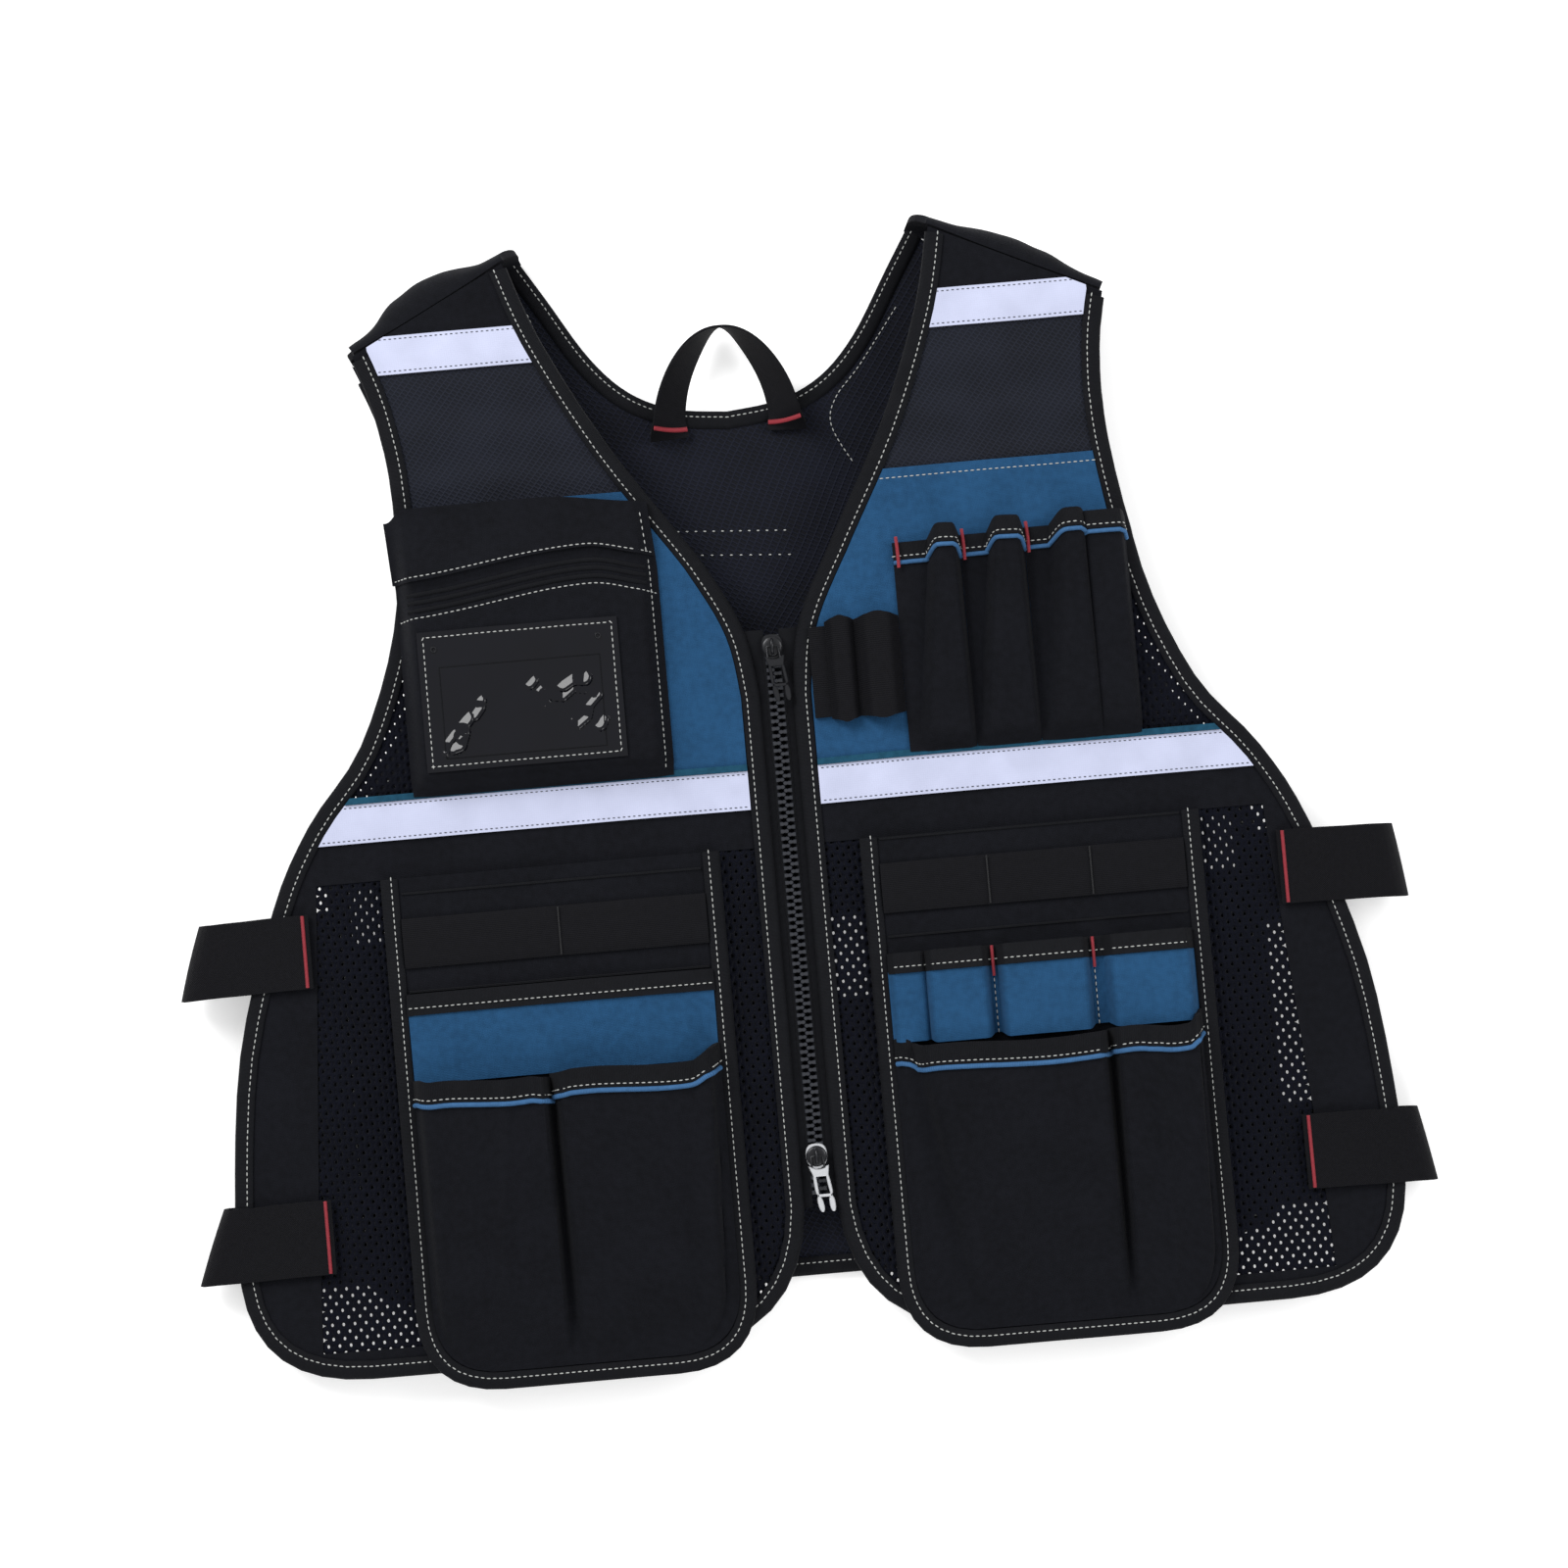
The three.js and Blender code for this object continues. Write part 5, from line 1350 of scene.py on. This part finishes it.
class VEST_OT_waist_pockets(bpy.types.Operator):
    """Blue pocket, blue loops and the four deep pockets of the waist"""
    bl_idname = "vest.waist_pockets"
    bl_label = "Waist pockets"

    def execute(self, context):
        mouth = span("pocket_left_inner")[3]
        seams, cords = [], []
        # side, shares of the panel, mouth and its rise at either side, pleats at either side, creases
        table = {
            "pocket_left_outer": (-1, 0.55, 1, mouth - 1, 2.0, -2.5, (0.04, 0.02), (0.02, 0.04),
                                  [(0.5, 0.66, 2.0), (0.2, 0.1, 1.0)]),
            "pocket_left_inner": (-1, 0, 0.55, mouth, -1.0, 7.0, (0.03, 0.0), (0.1, 0.03),
                                  [(0.72, 0.84, -2.2), (0.3, 0.2, 1.2)]),
            "pocket_right_inner": (1, 0, 0.7, mouth - 4, 5.0, 0.0, (0.26, 0.08), (0.01, 0.02), [(0.55, 0.5, 1.0)]),
            "pocket_right_outer": (1, 0.7, 1, mouth - 3, 0.0, 6.0, (0.03, 0.04), (0.1, 0.05), [(0.5, 0.45, 1.4)]),
        }
        for name, row in table.items():
            shape = lower_pocket(*row)
            finish(patch(f"{name}_cloth", 70, 90, shape, TRIM, "black"), "black_fabric", name)
            edge = 1 - 11.0 / (row[3] + 3)
            finish(hem(f"{name}_hem", shape, edge, "hem", 70), "binding_tape")
            seams.append(on_shape(shape, [(0.01, edge + 0.012), (0.99, edge + 0.012)], 2.45))
            cords.append(on_shape(shape, [(0.01, edge - 0.009), (0.99, edge - 0.009)], 1.95))
        x0, y0, x1, y1 = span("blue_pocket")
        blue = on_grid((x0, y0 - 1, x1, y1 - 3), lambda u, v: (3.2 * math.sin(math.pi * u) ** 0.5 * v
                       + 0.5 * grain(u * 160, v * 40, 22, 14)) * ease(0, 0.1, v) + 0.2)
        finish(patch("blue_pocket_cloth", 60, 16, blue, TRIM, "blue"), "blue_fabric", "blue_pocket")
        mouth_tape = on_grid((x0, y1 - 4, x1, y1 + 7), lambda u, v: 3.4 * math.sin(math.pi * u) ** 0.5 * (1 - 0.5 * v))
        finish(hem("blue_pocket_hem", mouth_tape, 0.0, "tape"), "binding_tape")
        seams.append([(x, y1 - 0.2, ground(x, y1) + LAYER_3 + 2.6
                       + 3.2 * math.sin(math.pi * (x - x0) / (x1 - x0)) ** 0.5) for x in steps(x0 + 1, x1 - 1, 60)])
        self.loops(seams)
        sew("waist_stitches_left", seams[:2] + seams[4:5])
        sew("waist_stitches_right", seams[2:4] + seams[5:])
        for word, piping in (("left", cords[:2]), ("right", cords[2:])):
            finish(rope(f"waist_piping_{word}", piping, 1.3, "piping"), "blue_fabric")
        return {"FINISHED"}

    def loops(self, seams):
        """Three blue loops between stitched seams."""
        humps = {1: [(0.0, 0.06, 0.3, 0.36, 0.45), (0.34, 0.42, 0.88, 0.97, 1.0)],
                 2: [(0.04, 0.12, 0.88, 0.96, 1.0)], 3: [(0.10, 0.2, 0.9, 0.99, 0.95)]}
        tacks = []
        for i in (1, 2, 3):
            x0, y0, x1, y1 = span(f"blue_loop_{i}")

            def stand(u, v):
                high = max(k * hump(a, b, c, d, u) for a, b, c, d, k in humps[i])
                return 8.5 * high + 0.3 * grain(u * 60, v * 30, 16, 20 + i) + 0.2

            def shape(u, v):
                out = stand(u, v)
                x, y = mix(x0, x1, u), mix(y0 - 0.3 * out, y1 - 3, v)
                return (x, y, ground(x, y) + LAYER_3 + out)

            def edge(u, v):
                x = mix(x0, x1, u)
                return (x, mix(y1 - 4, y1 + 6.5, v),
                        ground(x, y1) + LAYER_3 + TRIM + 0.2 + stand(u, 1) * (1 - 0.25 * v))
            finish(patch(f"blue_loop_{i}_cloth", 60, 16, shape, TRIM, "blue"), "blue_fabric", f"blue_loop_{i}")
            finish(patch(f"blue_loop_{i}_hem", 60, 4, edge, 0.9, "tape"), "binding_tape")
            seams.append([tuple(Vector(edge(u, 0.32)) + Vector((0, 0, 1.15))) for u in steps(0, 1, 40)[1:-1]])
            if i < 3:
                x = x1 + 0.2
                z = ground(x, y1) + LAYER_3 + 3.0
                tacks.append([(x, y1 - 9, z), (x, y1, z + 0.8), (x, y1 + 6, z + 0.8)])
                seams.append([(x, y, ground(x, y) + LAYER_3 + 1.9) for y in range(int(y0) + 1, int(y1) - 9, 2)])
        tack("blue_loop_tacks", tacks, 2.0)


def strap_shape(side, middle, lean):
    """Elastic strap: u across, v from the bar tack round the fold to its end on the back."""
    start, reach, tail, foot = HALF_WIDTH - 49, HALF_WIDTH + 14, HALF_WIDTH * 0.806 - 8, 4.85

    def top(x, y):
        return ground(side * min(x, HALF_WIDTH), y) + LAYER_2 + 0.1

    def line(y):
        roof = top(HALF_WIDTH, y)
        radius = (roof - foot) / 2
        row = [(x, top(x, y)) for x in steps(start, HALF_WIDTH - 4, 8)]
        row += [(reach - radius + radius * math.cos(t), foot + radius + radius * math.sin(t))
                for t in steps(math.pi / 2, -math.pi / 2, 10)]
        return row + [(x, foot) for x in steps(reach - radius - 4, tail, 5)]

    def shape(u, v):
        y = middle + 19 * (2 * u - 1) * side
        row = line(y)
        place = v * (len(row) - 1)
        i = min(len(row) - 2, int(place))
        x, z = (mix(a, b, place - i) for a, b in zip(row[i], row[i + 1]))
        fold = hump(0.05, 0.5, 0.55, 0.95, v)
        wave = 0.5 * grain(x, y, 18, middle) * fold
        down = (middle - y) / 19
        return (side * (x + lean / 2 * down * fold), y + wave - 1.2 * fold * down * down, z)
    return shape


class VEST_OT_straps(bpy.types.Operator):
    """Four elastic side straps with their bar tacks, and the hang loop"""
    bl_idname = "vest.straps"
    bl_label = "Straps and loop"

    def execute(self, context):
        tacks = []
        for word, side, leans in (("left", -1, (12, 15)), ("right", 1, (5, 7))):
            for level, lean in zip(("upper", "lower"), leans):
                node = f"strap_{level}_{word}"
                middle = sum(span(node)[1::2]) / 2
                shape = strap_shape(side, middle, lean)
                strap = patch(f"{node}_elastic", 20, 70, lambda u, v: shape(1 - u, v), 1.45, "elastic", sharp=60)
                finish(strap, "black_webbing", node)
                x = side * (HALF_WIDTH - 46)
                tacks.append([(x, y, ground(x, y) + LAYER_2 + 1.9)
                              for y in steps(middle - 18.2, middle + 18.2, 12)])
        tack("strap_tacks", tacks, 2.2)
        self.loop()
        return {"FINISHED"}

    def loop(self):
        """The hang loop: webbing that twists as it rises, flat on the back at its feet."""
        base, foot, half, tall, wide = 0.829 * LENGTH - 4, 4.95, 31, 56, 20

        def shape(u, v):
            turn = math.pi * (1 - v)
            high = math.sin(turn)
            roll = math.radians(32 * ease(0, 0.15, high) + 40 * high + 29 * high ** 8)
            out = Vector((math.cos(turn) / half, math.sin(turn) / tall, 0)).normalized()
            out = out.lerp(Vector((math.copysign(1, math.cos(turn)), 0, 0)), 1 - ease(0, 0.3, high)).normalized()
            across = half * math.cos(turn) * abs(math.cos(turn)) ** 0.35
            centre = Vector((across, base + tall * high, foot + 0.1 + wide / 2 * math.sin(roll)))
            inward = -out * math.cos(roll) - Vector((0, 0, 1)) * math.sin(roll)
            return tuple(centre + inward * (wide * (u - 0.5)))
        finish(patch("hang_loop_webbing", 12, 72, shape, 1.4, "webbing", sharp=60), "black_webbing", "hang_loop")
        rows = [on_shape(shape, [(0.04, v), (0.96, v + lean)], 1.9, 30)
                for v, lean in ((0.035, -0.012), (0.965, 0.012))]
        tack("hang_loop_tacks", rows, 3.0)


class VEST_OT_stage(bpy.types.Operator):
    """Pale floor, soft studio lights and the camera"""
    bl_idname = "vest.stage"
    bl_label = "Stage"

    def execute(self, context):
        mesh = bpy.data.meshes.new("studio_floor")
        mesh.from_pydata([(x, y, -0.0005) for x, y in boxed(-4, -4, 4, 4)], [], [(0, 1, 2, 3)])
        paper = bpy.data.objects.new("studio_floor", mesh)
        context.collection.objects.link(paper)
        mesh.materials.append(start("Paper backdrop, white", Base_Color=(0.9, 0.9, 0.9, 1), Roughness=0.9,
                                    Emission_Color=(1, 1, 1, 1), Emission_Strength=0.4)[0])
        lamps = [("key", (-1.3, 1.5, 1.5), 1.2, 44), ("fill", (1.7, 0.5, 1.4), 1.1, 16),
                 ("rim", (0.4, -1.8, 1.2), 1.1, 11)]
        for name, place, size, power in lamps:
            lamp = bpy.data.lights.new(name, "AREA")
            lamp.size, lamp.energy = size, power
            piece = bpy.data.objects.new(name, lamp)
            piece.location = place
            piece.rotation_euler = (-Vector(place)).to_track_quat("-Z", "Y").to_euler()
            context.collection.objects.link(piece)
        world = bpy.data.worlds.new("studio")
        world.use_nodes = True
        sky = world.node_tree.nodes["Background"].inputs
        sky["Color"].default_value, sky["Strength"].default_value = (1, 1, 1, 1), 0.55
        context.scene.world = world
        context.scene.view_settings.view_transform = "Standard"
        camera = bpy.data.cameras.new("camera")
        camera.lens, camera.sensor_width, camera.clip_end = 80, 36, 20
        piece = bpy.data.objects.new("camera", camera)
        context.collection.objects.link(piece)
        high, roll, far = math.radians(86), math.radians(5), 1.80
        target = Vector((0, 0.003, 0.02))
        back = Vector((0, -math.cos(high), math.sin(high)))
        piece.location = target + back * far
        look = (-back).to_track_quat("-Z", "Y")
        piece.rotation_euler = (look @ Matrix.Rotation(-roll, 3, "Z").to_quaternion()).to_euler()
        context.scene.camera = piece
        return {"FINISHED"}


class VEST_PT_panel(bpy.types.Panel):
    """Sizes, colours and pieces of the vest"""
    bl_label = "Utility work vest"
    bl_idname = "VEST_PT_panel"
    bl_space_type = "VIEW_3D"
    bl_region_type = "UI"
    bl_category = "Vest"

    def draw(self, context):
        for group in (context.scene.vest_sizes, context.scene.vest_colours):
            for key in group.__annotations__:
                self.layout.prop(group, key)
        for operator in OPERATORS:
            self.layout.operator(operator.bl_idname)


OPERATORS = (VEST_OT_back, VEST_OT_fronts, VEST_OT_shoulders, VEST_OT_chest_panels, VEST_OT_bands, VEST_OT_zip,
             VEST_OT_tool_pockets, VEST_OT_badge_pocket, VEST_OT_pocket_panels, VEST_OT_waist_pockets,
             VEST_OT_straps, VEST_OT_stage)
CLASSES = (VestColours, VestSizes, *OPERATORS, VEST_PT_panel)


def register():
    for kind in CLASSES:
        bpy.utils.register_class(kind)
    bpy.types.Scene.vest_colours = PointerProperty(type=VestColours)
    bpy.types.Scene.vest_sizes = PointerProperty(type=VestSizes)


def unregister():
    del bpy.types.Scene.vest_sizes
    del bpy.types.Scene.vest_colours
    for kind in reversed(CLASSES):
        bpy.utils.unregister_class(kind)


def main():
    """Makes every piece."""
    register()
    for operator in OPERATORS:
        group, name = operator.bl_idname.split(".")
        getattr(getattr(bpy.ops, group), name)()
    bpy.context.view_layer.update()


if __name__ == "__main__":
    main()
